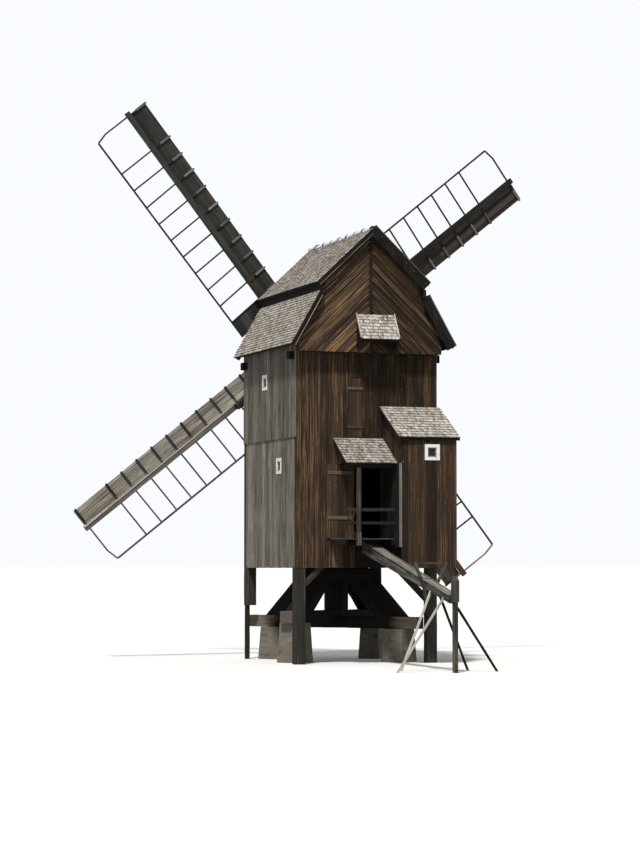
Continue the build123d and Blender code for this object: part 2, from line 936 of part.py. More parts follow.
with BuildPart() as door_pintles:
    for height in (lower_strap, upper_strap):
        seat = floor_height + height - knuckle_height / 2 - touch
        with BuildSketch(Plane.XY.offset(seat - knuckle_radius)):
            with Locations((hinge_x, hinge_y)):
                Circle(pin_radius)
        extrude(amount=knuckle_height + 2 * knuckle_radius)
        block(
            (hinge_x - pin_radius, hinge_x + pin_radius),
            (rear_face, hinge_y),
            (seat - 2 * knuckle_radius, seat),
        )
save(door_pintles, "door_pintles")

# Gallery: boards on joists, and a railing along the outer edge
gallery_edge = rear_face + gallery_depth
with BuildPart() as gallery_floor:
    block((lean_left, gallery_left), (rear_face, gallery_edge), (floor_height - gallery_board, floor_height))
save(gallery_floor, "gallery_floor")

joist_top = floor_height - gallery_board
with BuildPart() as gallery_joists:
    for x in (lean_left + joist_width / 2, canopy_post_x - joist_width, gallery_left - joist_width / 2):
        block(
            (x - joist_width / 2, x + joist_width / 2),
            (rear_face, gallery_edge),
            (joist_top - joist_depth, joist_top),
        )
save(gallery_joists, "gallery_joists")


# Canopy over the gallery on one post and a header
def canopy_height(y, depth):
    """Height of the canopy's face at a distance y, a given depth below its top."""
    slope = (canopy_wall_height - canopy_edge_height) / canopy_depth
    return canopy_wall_height - (y - rear_face) * slope - depth * hypot(1, slope)


canopy_edge = rear_face + canopy_depth
with BuildPart() as canopy:
    points = [
        (rear_face, canopy_height(rear_face, 0)),
        (canopy_edge, canopy_height(canopy_edge, 0)),
        (canopy_edge, canopy_height(canopy_edge, canopy_thickness)),
        (rear_face, canopy_height(rear_face, canopy_thickness)),
    ]
    plate(points, side_plane(lean_left), canopy_left - lean_left)
save(canopy, "canopy")

post_rear = gallery_edge + canopy_post_depth
header_bottom = canopy_height(post_rear, canopy_thickness) - header_depth
with BuildPart() as canopy_frame:
    points = [
        (gallery_edge, header_bottom),
        (gallery_edge, canopy_height(gallery_edge, canopy_thickness)),
        (post_rear, canopy_height(post_rear, canopy_thickness)),
        (post_rear, header_bottom),
    ]
    plate(points, side_plane(lean_left), canopy_left - lean_left)
    block(
        (canopy_post_x - canopy_post_width / 2, canopy_post_x + canopy_post_width / 2),
        (gallery_edge, post_rear),
        (canopy_post_bottom, header_bottom),
    )
    # Cleat at the foot of the post
    block(
        (canopy_post_x - cleat_width / 2, canopy_post_x + cleat_width / 2),
        (post_rear, post_rear + cleat_thickness),
        (cleat_bottom, cleat_top),
    )
save(canopy_frame, "canopy_frame")

with BuildPart() as railing:
    inner = gallery_edge - rail_width
    for height in (rail_height, mid_rail_height):
        block((lean_left, rail_left), (inner, gallery_edge), (height - rail_depth, height))
    bay_right = canopy_post_x + canopy_post_width / 2
    for x_start, x_end in ((bay_right, rail_left), (rail_left, bay_right)):
        timber(
            (x_start, inner + rail_width / 2, floor_height + brace_depth),
            (x_end, inner + rail_width / 2, rail_height - rail_depth / 2),
            rail_width,
            brace_depth,
            (0, 1, 0),
        )
save(railing, "railing")


# Lean-to beside the gallery
def lean_height(y, depth):
    """Height of the lean-to roof's face at a distance y, a given depth below its top."""
    slope = (lean_wall_height - lean_edge_height) / (lean_depth + lean_eave)
    return lean_wall_height - (y - rear_face) * slope - depth * hypot(1, slope)


lean_face = rear_face + lean_depth
lean_edge = lean_face + lean_eave
with BuildPart() as lean_to_roof:
    points = [
        (rear_face, lean_height(rear_face, 0)),
        (lean_edge, lean_height(lean_edge, 0)),
        (lean_edge, lean_height(lean_edge, lean_thickness)),
        (rear_face, lean_height(rear_face, lean_thickness)),
    ]
    width = side_half + lean_eave + lean_left + lean_verge
    plate(points, side_plane(-side_half - lean_eave), width)
save(lean_to_roof, "lean_to_roof")

with BuildPart() as lean_to_front:
    points = [
        (lean_face - lean_wall, skirt_height),
        (lean_face, skirt_height),
        (lean_face, lean_height(lean_face, lean_thickness)),
        (lean_face - lean_wall, lean_height(lean_face - lean_wall, lean_thickness)),
    ]
    plate(points, side_plane(-side_half), side_half + lean_left)
    half = window_size / 2
    block(
        (lean_window_x - half, lean_window_x + half),
        (lean_face - 2 * lean_wall, lean_face + lean_wall),
        (lean_window_height - half, lean_window_height + half),
        mode=Mode.SUBTRACT,
    )
save(lean_to_front, "lean_to_front")

with BuildPart() as lean_to_sides:
    for inner_x, bottom in ((-side_half, skirt_height), (lean_inner, lean_side_bottom)):
        points = [
            (rear_face, bottom),
            (lean_face - lean_wall, bottom),
            (lean_face - lean_wall, lean_height(lean_face - lean_wall, lean_thickness)),
            (rear_face, lean_height(rear_face, lean_thickness)),
        ]
        plate(points, side_plane(inner_x), lean_wall)
save(lean_to_sides, "lean_to_sides")

with BuildPart() as lean_to_floor:
    block(
        (-side_half + lean_wall, lean_inner),
        (rear_inner, lean_face - lean_wall),
        (floor_bottom, floor_height),
    )
save(lean_to_floor, "lean_to_floor")

# White window casings on the boarding and one pane in each hole
side_windows = [
    (side_half, upper_window_y, upper_window_height),
    (side_half - ledge_step, lower_window_y, lower_window_height),
]
casing_size = window_size + 2 * casing_width
with BuildPart() as window_casings:
    for side in (1, -1):
        for x, y, height in side_windows:
            start = x if side > 0 else -x - casing_thickness
            with BuildSketch(side_plane(start)) as ring:
                with Locations((y, height)):
                    Rectangle(casing_size, casing_size)
                    Rectangle(window_size, window_size, mode=Mode.SUBTRACT)
            extrude(ring.sketch, amount=casing_thickness)
    with BuildSketch(section_plane(lean_face)) as ring:
        with Locations((-lean_window_x, lean_window_height)):
            Rectangle(casing_size, casing_size)
            Rectangle(window_size, window_size, mode=Mode.SUBTRACT)
    extrude(ring.sketch, amount=casing_thickness)
save(window_casings, "window_casings")

with BuildPart() as window_panes:
    for side in (1, -1):
        for x, y, height in side_windows:
            start = side * (x - casing_width / 2)
            with BuildSketch(side_plane(start)) as pane:
                with Locations((y, height)):
                    Rectangle(window_size, window_size)
            extrude(pane.sketch, amount=pane_thickness)
    with BuildSketch(section_plane(lean_face - lean_wall / 2)) as pane:
        with Locations((-lean_window_x, lean_window_height)):
            Rectangle(window_size, window_size)
    extrude(pane.sketch, amount=pane_thickness)
save(window_panes, "window_panes")


# Hood of the sack hoist on the rear gable: a steep little roof on two cheeks
def hoist_height(y, depth):
    """Height of the hood roof's face at a distance y, a given depth below its top."""
    slope = (hoist_top - hoist_edge) / hoist_depth
    return hoist_top - (y - gable_rear) * slope - depth * hypot(1, slope)


hoist_rear = gable_rear + hoist_depth
with BuildPart() as hoist_hood:
    points = [
        (gable_rear, hoist_height(gable_rear, 0)),
        (hoist_rear, hoist_height(hoist_rear, 0)),
        (hoist_rear, hoist_height(hoist_rear, hoist_thickness)),
        (gable_rear, hoist_height(gable_rear, hoist_thickness)),
    ]
    plate(points, side_plane(hoist_right), hoist_left - hoist_right)
    cheek_rear = hoist_rear - hoist_cheek
    for x in (hoist_right, hoist_left - hoist_cheek):
        points = [
            (gable_rear, hoist_bottom),
            (cheek_rear, hoist_bottom),
            (cheek_rear, hoist_height(cheek_rear, hoist_thickness)),
            (gable_rear, hoist_height(gable_rear, hoist_thickness)),
        ]
        plate(points, side_plane(x), hoist_cheek)
save(hoist_hood, "hoist_hood")

# Tail pole, with its cover board, end post, yoke and legs
with BuildPart() as tail_pole:
    beam_along_pole(pole_start, pole_end, pole_width, pole_bottom, pole_top)
save(tail_pole, "tail_pole")

with BuildPart() as tail_cover:
    beam_along_pole(rear_face, pole_end, cover_width, pole_top, cover_top)
save(tail_cover, "tail_cover")

with BuildPart() as tail_post:
    block(
        (-tail_post_width / 2, tail_post_width / 2),
        (pole_end, pole_end + tail_post_length),
        (tail_post_bottom, tail_post_top),
    )
    chamfer(tail_post.faces().sort_by(Axis.Z)[-1].edges(), length=tail_post_chamfer)
    for y in (pole_end + tail_post_leg / 2, pole_end + tail_post_length - tail_post_leg / 2):
        block(
            (-tail_post_leg / 2, tail_post_leg / 2),
            (y - tail_post_leg / 2, y + tail_post_leg / 2),
            (0, tail_post_bottom),
        )
save(tail_post, "tail_post")


def clear_of_pole(start_y):
    """Cut away what lies inside the tail pole and its cover."""
    beam_along_pole(start_y, pole_end, pole_width, pole_bottom, pole_top, mode=Mode.SUBTRACT)
    beam_along_pole(start_y, pole_end, cover_width, pole_top, cover_top, mode=Mode.SUBTRACT)


# Yoke: a bar over the pole on two arms that run down beside it and lean together below it
with BuildPart() as tail_yoke:
    timber((yoke_left, yoke_y, yoke_height), (yoke_right, yoke_y, yoke_height), yoke_bar, yoke_bar, (0, 1, 0))
    beside_pole = pole_width(yoke_y) / 2 + yoke_arm / 2
    for side, end_x in ((1, yoke_left), (-1, yoke_right)):
        top = (end_x - side * yoke_arm_inset, yoke_y, yoke_height)
        middle = (side * beside_pole, yoke_y, yoke_middle)
        foot = (side * yoke_foot_x, yoke_y, yoke_foot)
        timber(top, middle, yoke_arm, yoke_arm, (0, 1, 0))
        timber(middle, foot, yoke_arm, yoke_arm, (0, 1, 0))
    clear_of_pole(rear_face)
save(tail_yoke, "tail_yoke")

with BuildPart() as tail_legs:
    for y, spread in ((rear_leg_y, rear_leg_spread), (front_leg_y, front_leg_spread)):
        top = (2 * pole_top(y) + pole_bottom(y)) / 3
        for side in (1, -1):
            start = (side * pole_width(y) / 4, y, top)
            timber(start, (side * spread, y, 0), leg_size, leg_size, (0, 1, 0))
    clear_of_pole(rear_face)
    leg_reach = (-2 * side_half, 2 * side_half)
    block(leg_reach, (yoke_y - below_ground, pole_end), (-below_ground, 0), mode=Mode.SUBTRACT)
save(tail_legs, "tail_legs")
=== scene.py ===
# %% [markdown]
# A post mill is a wooden house that stands on one thick post, so that people could turn all of it into the wind.
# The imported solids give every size. This lesson dresses them with boards, shingles and weather, one piece at a time.

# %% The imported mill
import math
import random

import bmesh
import bpy
from mathutils import Matrix, Vector


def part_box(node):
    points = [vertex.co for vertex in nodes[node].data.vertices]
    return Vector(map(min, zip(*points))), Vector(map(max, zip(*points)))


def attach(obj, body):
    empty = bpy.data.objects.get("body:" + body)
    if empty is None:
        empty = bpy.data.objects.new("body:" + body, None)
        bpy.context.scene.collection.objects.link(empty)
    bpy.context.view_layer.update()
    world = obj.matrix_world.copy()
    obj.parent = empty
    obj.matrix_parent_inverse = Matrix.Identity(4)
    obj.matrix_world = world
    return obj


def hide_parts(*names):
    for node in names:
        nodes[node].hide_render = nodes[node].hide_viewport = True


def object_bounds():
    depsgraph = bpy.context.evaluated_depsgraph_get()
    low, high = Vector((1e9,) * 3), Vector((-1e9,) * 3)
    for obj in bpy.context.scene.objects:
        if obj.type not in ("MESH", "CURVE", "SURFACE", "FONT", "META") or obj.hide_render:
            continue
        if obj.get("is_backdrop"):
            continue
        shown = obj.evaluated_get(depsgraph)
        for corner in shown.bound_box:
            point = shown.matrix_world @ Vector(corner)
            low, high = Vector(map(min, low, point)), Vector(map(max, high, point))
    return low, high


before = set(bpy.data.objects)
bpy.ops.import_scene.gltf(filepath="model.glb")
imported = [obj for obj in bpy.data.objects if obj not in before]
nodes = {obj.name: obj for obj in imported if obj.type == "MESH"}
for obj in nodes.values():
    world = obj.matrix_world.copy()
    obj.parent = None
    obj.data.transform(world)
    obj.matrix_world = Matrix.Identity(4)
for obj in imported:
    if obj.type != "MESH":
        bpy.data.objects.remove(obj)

cad_low, cad_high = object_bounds()
chance = random.Random(5)


def bring_in(name, data):
    """Makes an object of a mesh, a lamp or a camera and puts it in the scene."""
    made = bpy.data.objects.new(name, data)
    bpy.context.scene.collection.objects.link(made)
    return made


print("solids:", len(nodes), "height:", round(cad_high.z, 2))

# %% [markdown]
# The photograph was taken with a long lens from a field behind the mill, a little to the side of the tail pole.
# The camera stands 3 m above the foot of the mill and looks up slightly, so the undersides of the roofs show.

# %% Camera
lens = bpy.data.cameras.new("field camera")
lens.lens = 106.32
lens.sensor_width = 36
lens.clip_end = 6000
camera = bring_in("field camera", lens)
camera.location = (27.674, 74.195, 3.073)
camera.rotation_euler = (math.radians(90 + 3.138), 0, math.radians(-199.39))
bpy.context.scene.camera = camera
print("camera is", round(camera.location.length, 1), "m from the door")

# %% [markdown]
# One soft sun stands high behind the viewer's left shoulder, where the shadow under the gable says it was. A pale
# sky fills the shadows. Both together are near 1 on a surface that faces them, so a colour looks as it is written.
# Rays that go straight to the camera see a plain white sky.

# %% Light and floor
sun = bpy.data.lights.new("sun", "SUN")
sun.energy = 3.1
sun.angle = math.radians(6)
sun.color = (1.0, 0.97, 0.92)
lamp = bring_in("sun", sun)
lamp.rotation_euler = Vector((0.30, 0.46, 0.84)).to_track_quat("Z", "Y").to_euler()

world = bpy.data.worlds.new("studio")
bpy.context.scene.world = world
world.use_nodes = True
sky = world.node_tree
path = sky.nodes.new("ShaderNodeLightPath")
direct = sky.nodes.new("ShaderNodeMath")
direct.operation = "MAXIMUM"
sky.links.new(path.outputs["Is Camera Ray"], direct.inputs[0])
sky.links.new(path.outputs["Is Transmission Ray"], direct.inputs[1])
level = sky.nodes.new("ShaderNodeMapRange")
level.inputs["To Min"].default_value = 0.42
level.inputs["To Max"].default_value = 1.0
sky.links.new(direct.outputs[0], level.inputs["Value"])
background = sky.nodes["Background"]
background.inputs["Color"].default_value = (0.95, 0.97, 1.0, 1)
sky.links.new(level.outputs[0], background.inputs["Strength"])

ground = bmesh.new()
bmesh.ops.create_grid(ground, x_segments=1, y_segments=1, size=4000)
floor_mesh = bpy.data.meshes.new("floor")
ground.to_mesh(floor_mesh)
floor = bring_in("floor", floor_mesh)
floor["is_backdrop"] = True
bpy.context.scene.view_settings.view_transform = "Standard"
print("sun", sun.energy, "sky", level.inputs["To Min"].default_value)

# %% [markdown]
# Materials are written as sums. A Wire holds one socket of a material, and adding or multiplying wires adds the
# Math nodes. A Finish holds one material, and its node method makes every other kind of node.

# %% Shader sums
class Wire:
    """One socket of a finish, so that shader maths can be written as an expression."""

    def __init__(self, finish, socket):
        self.finish = finish
        self.socket = socket

    def math(self, operation, *others, clamp=False):
        settings = {"operation": operation, "use_clamp": clamp}
        return self.finish.node("Math", settings, dict(enumerate((self, *others))))

    def __add__(self, other):
        return self.math("ADD", other)

    def __sub__(self, other):
        return self.math("SUBTRACT", other)

    def __mul__(self, other):
        return self.math("MULTIPLY", other)

    def __truediv__(self, other):
        return self.math("DIVIDE", other)

    def __rsub__(self, other):
        return self.finish.node("Math", {"operation": "SUBTRACT"}, {0: other, 1: self})

    __radd__ = __add__
    __rmul__ = __mul__


class Finish:
    """A material with one main shader, and short ways to add the nodes that feed it."""

    def __init__(self, name):
        self.material = bpy.data.materials.new(name)
        self.material.use_nodes = True
        self.tree = self.material.node_tree
        self.shader = self.tree.nodes["Principled BSDF"]

    def node(self, kind, settings=None, inputs=None, output=0):
        """Adds a node: its settings first, then the values or wires of its sockets."""
        made = self.tree.nodes.new("ShaderNode" + kind)
        for name, value in (settings or {}).items():
            if name == "stops":
                self.set_stops(made.color_ramp, value)
            else:
                setattr(made, name, value)
        for name, value in (inputs or {}).items():
            self.plug(made.inputs[name], value)
        return Wire(self, made.outputs[output])

    def plug(self, socket, value):
        if isinstance(value, Wire):
            self.tree.links.new(value.socket, socket)
        elif hasattr(value, "__len__") and socket.type == "RGBA":
            socket.default_value = (*value, 1)[:4]
        else:
            socket.default_value = value

    def set_stops(self, ramp, stops):
        while len(ramp.elements) < len(stops):
            ramp.elements.new(1)
        for element, (place, shade) in zip(ramp.elements, stops):
            element.position = place
            element.color = (*shade, 1) if hasattr(shade, "__len__") else (shade, shade, shade, 1)

    def set(self, **sockets):
        """Feeds sockets of the main shader. An underscore in a name stands for a space."""
        for name, value in sockets.items():
            self.plug(self.shader.inputs[name.replace("_", " ")], value)

    def object_place(self):
        return self.node("TexCoord", output=3)

    def noise(self, place, scale, detail=3, roughness=0.55, distortion=0):
        texture = {"Scale": scale, "Detail": detail, "Roughness": roughness, "Distortion": distortion}
        return self.node("TexNoise", None, {"Vector": place, **texture})

    def scaled(self, place, factors):
        return self.node("VectorMath", {"operation": "MULTIPLY"}, {0: place, 1: factors})

    def step(self, value, low, high, bottom=0.0, top=1.0):
        """Rises smoothly from bottom to top while the value goes from low to high."""
        sockets = {"Value": value, "From Min": low, "From Max": high, "To Min": bottom, "To Max": top}
        return self.node("MapRange", {"interpolation_type": "SMOOTHSTEP"}, sockets)

    def mix(self, first, second, factor, blend="MIX"):
        settings = {"data_type": "RGBA", "blend_type": blend}
        return self.node("Mix", settings, {0: factor, 6: first, 7: second}, output=2)

    def bump(self, height, distance, strength=1.0):
        sockets = {"Height": height, "Distance": distance, "Strength": strength}
        return self.node("Bump", None, sockets)


plain = Finish("floor")
seen = plain.node("LightPath", output=0)
plain.set(Base_Color=plain.mix((0.42, 0.42, 0.40), (0.92, 0.92, 0.92), seen), Roughness=0.9)
floor_mesh.materials.append(plain.material)

# %% [markdown]
# Old mill boards are softwood with a dark stain. Sun and rain wash the stain out in long streaks, so the orange
# wood shows, and on the weather side the boards go silver grey. Knots shed the stain first and stay as pale specks.
# The pattern follows each board's own grain: the first coordinate runs along the board, the second across it.

# %% Wood
def wood(name, deep, body, pale, bare, bare_share=0.5, knots=0.6, relief=0.0015, along=None, planks=None,
         spread=0.35, contrast=1.2, brown=0.0, darken_round=None):
    """A timber finish. Without along it reads the boards' own grain, with it the object's axes.

    Spread is how much whole boards differ, contrast how much their streaks do. Brown is the share of boards that
    have stayed brown. The last one darkens the wood near an upright line: its place, two radii and the light that is
    left.
    """
    finish = Finish(name)
    if along is None:
        grain = finish.node("UVMap", {"uv_map": "grain"})
        tone = finish.node("Attribute", {"attribute_name": "board"}, output=2)
        end_grain_and_shade = finish.node("Attribute", {"attribute_name": "end"}, output=2)
    else:
        place = finish.object_place()
        grain = finish.node("VectorRotate", {"rotation_type": "EULER_XYZ"}, {"Vector": place, "Rotation": along})
        tone = finish.noise(place, 0.7)
        if planks:
            parts = finish.node("SeparateXYZ", None, {0: grain}, output=1)
            tone = finish.node("TexWhiteNoise", {"noise_dimensions": "1D"}, {"W": (parts / planks).math("FLOOR")})
    streaks = finish.noise(finish.scaled(grain, (0.8, 26, 26)), 1, 4, 0.65, 0.4)
    fibres = finish.noise(finish.scaled(grain, (4, 150, 150)), 1, 3, 0.6)
    stain = finish.noise(finish.scaled(grain, (0.35, 5, 5)), 1, 3, 0.55)
    mood = tone * spread + stain * 0.5 + (0.25 - spread / 2)
    stops = [(0.25, deep), (0.5, body), (0.78, pale)]
    shade = finish.node("ValToRGB", {"stops": stops}, {0: mood + (streaks - 0.5) * contrast})
    if brown:
        lot = (tone * 17).math("FRACT")
        browner = finish.mix(shade, (0.80, 0.64, 0.50), 1.0, "MULTIPLY")
        shade = finish.mix(shade, browner, finish.step(lot, 1 - brown, 1 - brown * 0.8))
    washed = finish.step(streaks * 0.8 + tone * 0.1 + stain * 0.35, 0.80 - 0.2 * bare_share, 0.90 - 0.2 * bare_share)
    shade = finish.mix(shade, bare, washed * 0.75)
    spots = finish.scaled(grain, (3.2, 8, 8))
    cells = finish.node("TexVoronoi", None, {"Vector": spots, "Scale": 1, "Randomness": 1.0})
    knots = finish.step(stain, 0.48, 0.60) * knots
    knot = finish.step(cells, 0.05, 0.13, 1, 0) * knots
    halo = finish.step(cells, 0.10, 0.22, 1, 0) * knots
    shade = finish.mix(shade, deep, halo * 0.7)
    shade = finish.mix(shade, [min(1, 1.2 * part + 0.22) for part in bare], knot * 0.8)
    shade = finish.mix(shade, [0.4 * part for part in deep], finish.step(fibres, 0.52, 0.30) * 0.55)
    # Sawn ends are darker: partly their end grain, partly painted shade for the dark lines under the butts of
    # shingles.
    if along is None:
        shade = finish.mix(shade, [0.7 * part for part in deep], end_grain_and_shade * 0.8)
    # Darker near an upright line: on the crossed beams this is painted shade.
    if darken_round:
        centre, inside, outside, left = darken_round
        flat = finish.scaled(finish.object_place(), (1, 1, 0))
        away = finish.node("VectorMath", {"operation": "DISTANCE"}, {0: flat, 1: centre}, output=1)
        outer_share = finish.step(away + stain * 0.3, inside, outside)
        shade = finish.mix(finish.mix(shade, (left, left, left), 1.0, "MULTIPLY"), shade, outer_share)
    height = fibres * 0.6 + streaks * 0.6 - halo * 0.3
    if planks:
        across = (parts / planks).math("FRACT")
        gap = finish.step((across - 0.5).math("ABSOLUTE"), 0.47, 0.5)
        shade = finish.mix(shade, [0.15 * part for part in deep], gap)
        height = height - gap * 2
    finish.set(Base_Color=shade, Roughness=finish.step(streaks, 0.3, 0.7, 0.78, 0.95))
    finish.set(Normal=finish.bump(height, relief), Specular_IOR_Level=0.25)
    return finish.material


dark_brown = dict(deep=(0.016, 0.010, 0.007), body=(0.048, 0.029, 0.018), pale=(0.105, 0.064, 0.037),
                  bare=(0.25, 0.145, 0.062))
silver = dict(deep=(0.052, 0.046, 0.039), body=(0.122, 0.111, 0.094), pale=(0.225, 0.205, 0.175),
              bare=(0.33, 0.295, 0.245))
black = dict(deep=(0.004, 0.0035, 0.003), body=(0.008, 0.007, 0.006), pale=(0.020, 0.017, 0.014),
             bare=(0.05, 0.04, 0.03))
drift = dict(deep=(0.015, 0.013, 0.011), body=(0.034, 0.031, 0.026), pale=(0.075, 0.068, 0.056),
             bare=(0.13, 0.11, 0.082))


def lighter(palette, times):
    """The same four colours, brighter or darker by one factor."""
    return {name: tuple(min(0.85, part * times) for part in shade) for name, shade in palette.items()}


# The rear boards are darker round a point 0.9 m from the middle on the lean-to side: darkest within 0.5 m, fading out
# by 2.8 m.
rear_boards = wood("rear boards", **lighter(dark_brown, 0.98), bare_share=0.6, knots=0.9, spread=0.3, contrast=2.0,
                   darken_round=((-0.9, 0, 0), 0.5, 2.8, 0.56))
side_boards = wood("side boards", **lighter(silver, 1.15), bare_share=0.4, knots=0.25, spread=0.32, contrast=2.2)
low_boards = wood("side boards, lower", **lighter(silver, 1.5), bare_share=0.4, knots=0.25, spread=0.32, contrast=2.2)
black_timber = wood("black timber", **black, bare_share=0.2, knots=0.2, relief=0.004)
drift_timber = wood("driftwood timber", **drift, bare_share=0.45, knots=0.35, relief=0.003)
print("wood finishes made")

# %% [markdown]
# Nearly everything on the mill is a sawn board, a hewn timber or a split shingle, and all three start as a stretched
# cube. Joinery collects many of them in one mesh. Each part gets the grain of its own board and its own number, so
# no two boards look the same.

# %% Mesh helpers
UP = Vector((0, 0, 1))


def along_board(start, end, out):
    """Where a part goes: X from start to end, Z out of its face, its origin halfway."""
    start, end = Vector(start), Vector(end)
    x = (end - start).normalized()
    y = Vector(out).cross(x).normalized()
    turn = Matrix((x, y, x.cross(y))).transposed().to_4x4()
    return Matrix.Translation((start + end) / 2) @ turn


def box(length, width, height):
    """A new mesh that holds one box round the origin."""
    part = bmesh.new()
    bmesh.ops.create_cube(part, size=1, matrix=Matrix.Diagonal((length, width, height, 1)))
    return part


def long_edges(part, least, axis=0):
    """The edges that run along an axis for more than the least length."""
    return [edge for edge in part.edges if abs(edge.verts[0].co[axis] - edge.verts[1].co[axis]) > least]


def ease(part, edges, offset, segments=1):
    bmesh.ops.bevel(part, geom=edges, offset=offset, segments=segments, profile=0.5, affect="EDGES", material=-1)


def shear_off(part, point, normal):
    """Takes away what lies past a plane, and returns the edges of the cut."""
    everything = part.verts[:] + part.edges[:] + part.faces[:]
    cut = bmesh.ops.bisect_plane(part, geom=everything, plane_co=point, plane_no=normal, clear_outer=True)
    return [item for item in cut["geom_cut"] if isinstance(item, bmesh.types.BMEdge)]


def pour(part, into):
    """Adds a mesh to another one and frees it."""
    packed = bpy.data.meshes.new("part")
    part.to_mesh(packed)
    part.free()
    into.from_mesh(packed)
    bpy.data.meshes.remove(packed)


def make_piece(shape, name, material, slot, stands_for, body):
    """Makes an object of a mesh, gives it its finish and sets it on its body. Returns how many faces it has."""
    mesh = bpy.data.meshes.new(name)
    shape.to_mesh(mesh)
    shape.free()
    mesh.materials.append(material)
    piece = bring_in(name, mesh)
    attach(piece, body)
    if stands_for:
        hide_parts(*stands_for)
    return len(mesh.polygons)


# %% Joinery
class Joinery:
    """Collects boards and timbers in one mesh."""

    def __init__(self):
        self.all = bmesh.new()
        self.all.loops.layers.uv.new("grain")
        self.all.faces.layers.float.new("board")
        self.all.faces.layers.float.new("end")
        self.count = 0

    def add(self, part, place, rule=None):
        """Gives a finished part its grain and number and moves it to its place. A rule can bend it there."""
        grain = part.loops.layers.uv.new("grain")
        number = part.faces.layers.float.new("board")
        sawn_end_and_shade = part.faces.layers.float.new("end")
        own, shift = chance.random(), Vector((chance.uniform(0, 50), chance.uniform(0, 50)))
        part.normal_update()
        for face in part.faces:
            face[number] = own
            flat = max(range(3), key=lambda axis: abs(face.normal[axis]))
            face[sawn_end_and_shade] = 1.0 if flat == 0 else 0.0
            for loop in face.loops:
                x, y, z = loop.vert.co
                loop[grain].uv = shift + Vector(((x, y), (x, z), (y, z))[(2, 1, 0).index(flat)])
        bmesh.ops.transform(part, matrix=place, verts=part.verts[:])
        if rule:
            for vert in part.verts:
                vert.co = rule(vert.co)
        pour(part, self.all)
        self.count += 1

    def board(self, start, end, width, thickness, out, edge=0.003):
        """A straight part from start to end, with eased edges."""
        part = box((Vector(end) - Vector(start)).length, width, thickness)
        ease(part, part.edges[:], edge)
        self.add(part, along_board(start, end, out))

    def timber(self, start, end, width, depth, out, edge=0.012, rough=0.006, cuts=()):
        """A hewn timber: its long faces waver a little, and planes cut its ends."""
        length = (Vector(end) - Vector(start)).length
        part = box(length, width, depth)
        ease(part, long_edges(part, length / 2), edge, segments=2)
        rings = max(1, min(24, int(length / 0.35)))
        bmesh.ops.subdivide_edges(part, edges=long_edges(part, length / 2), cuts=rings)
        for vert in part.verts:
            if abs(vert.co.x) < length / 2 - 0.001:
                vert.co += Vector((0, chance.uniform(-rough, rough), chance.uniform(-rough, rough)))
        place = along_board(start, end, out)
        back = place.inverted()
        for point, normal in cuts:
            turned = (back.to_3x3() @ Vector(normal)).normalized()
            rim = shear_off(part, back @ Vector(point), turned)
            if rim:
                bmesh.ops.edgeloop_fill(part, edges=rim)
        self.add(part, place)

    def cut(self, point, normal):
        """Cuts everything collected so far by a plane, and closes the cuts."""
        bmesh.ops.holes_fill(self.all, edges=shear_off(self.all, point, normal), sides=0)

    def finish(self, name, material, slot="rear_boards", stands_for=(), body="mill"):
        faces = make_piece(self.all, name, material, slot, stands_for, body)
        print(f"{name}: {self.count} parts, {faces} faces")


def strips(low, high, narrow, wide):
    """Splits a width into boards of uneven widths."""
    edges = [low]
    while edges[-1] < high - wide:
        edges.append(edges[-1] + chance.uniform(narrow, wide))
    edges.append(high)
    return list(zip(edges, edges[1:]))


# %% [markdown]
# Shingles are short boards split from a log. Each course covers the upper end of the one below, so only the thick
# lower end of a shingle shows. A thin wedge stands for each: its lower end rests on the course below, its upper end
# goes under the next one. Their widths and lengths vary a little, which gives the roof its lively courses.

# %% Shingled slopes
def shingle_slope(stack, corner, along, up, length, height, reveal=0.104, over=0.02, ragged=0.010, wide=0.115,
                  thick=0.024):
    """Covers a slope from its lower corner. Along is level, up climbs the slope."""
    corner, along, up = Vector(corner), Vector(along).normalized(), Vector(up).normalized()
    out = along.cross(up)
    rows = round((height + over) / reveal)
    step = (height + over) / rows
    for row in range(rows):
        foot = row * step - over
        long = min(1.5 * step, height - foot)
        for left, right in strips(0, length, 0.5 * wide, wide):
            slip = chance.uniform(-ragged, ragged * 0.4) if row else chance.uniform(-ragged, 0)
            middle = corner + along * (left + right) / 2
            start = middle + up * (foot + slip) + out * (0.026 + chance.uniform(-0.004, 0.008))
            end = middle + up * (foot + long) + out * 0.004
            part = box((end - start).length, right - left - 0.006, thick)
            for vert in part.verts:
                if vert.co.x > 0:
                    vert.co.z *= 0.4
            stack.add(part, along_board(start, end, out))


def shingle_finish(name, times, spread, brown):
    colours = dict(deep=(0.11, 0.10, 0.088), body=(0.33, 0.31, 0.28), pale=(0.62, 0.59, 0.55),
                   bare=(0.56, 0.50, 0.42))
    return wood(name, **lighter(colours, times), bare_share=0.35, knots=0.1, relief=0.001, spread=spread, brown=brown)


upper_shingles = shingle_finish("upper shingles", 1.4, 0.3, 0.2)
lower_shingles = shingle_finish("lower shingles", 1.24, 0.3, 0.2)
bright_shingles = shingle_finish("small roof shingles", 1.45, 0.25, 0.15)
porch_shingles = shingle_finish("canopy shingles", 1.15, 0.25, 0.15)

# The roof's cross-section, as (distance from the middle, height), and where its front and rear edges are.
RIDGE, HIP, KNEE, EAVE = (0, 13.633), (1.85, 11.885), (1.742, 11.620), (2.695, 9.945)
FRONT_Y, ROOF_REAR_Y = -5.31, 0.577
roof_front_y = FRONT_Y - 0.035
SIDES = ((1, "left"), (-1, "right"))

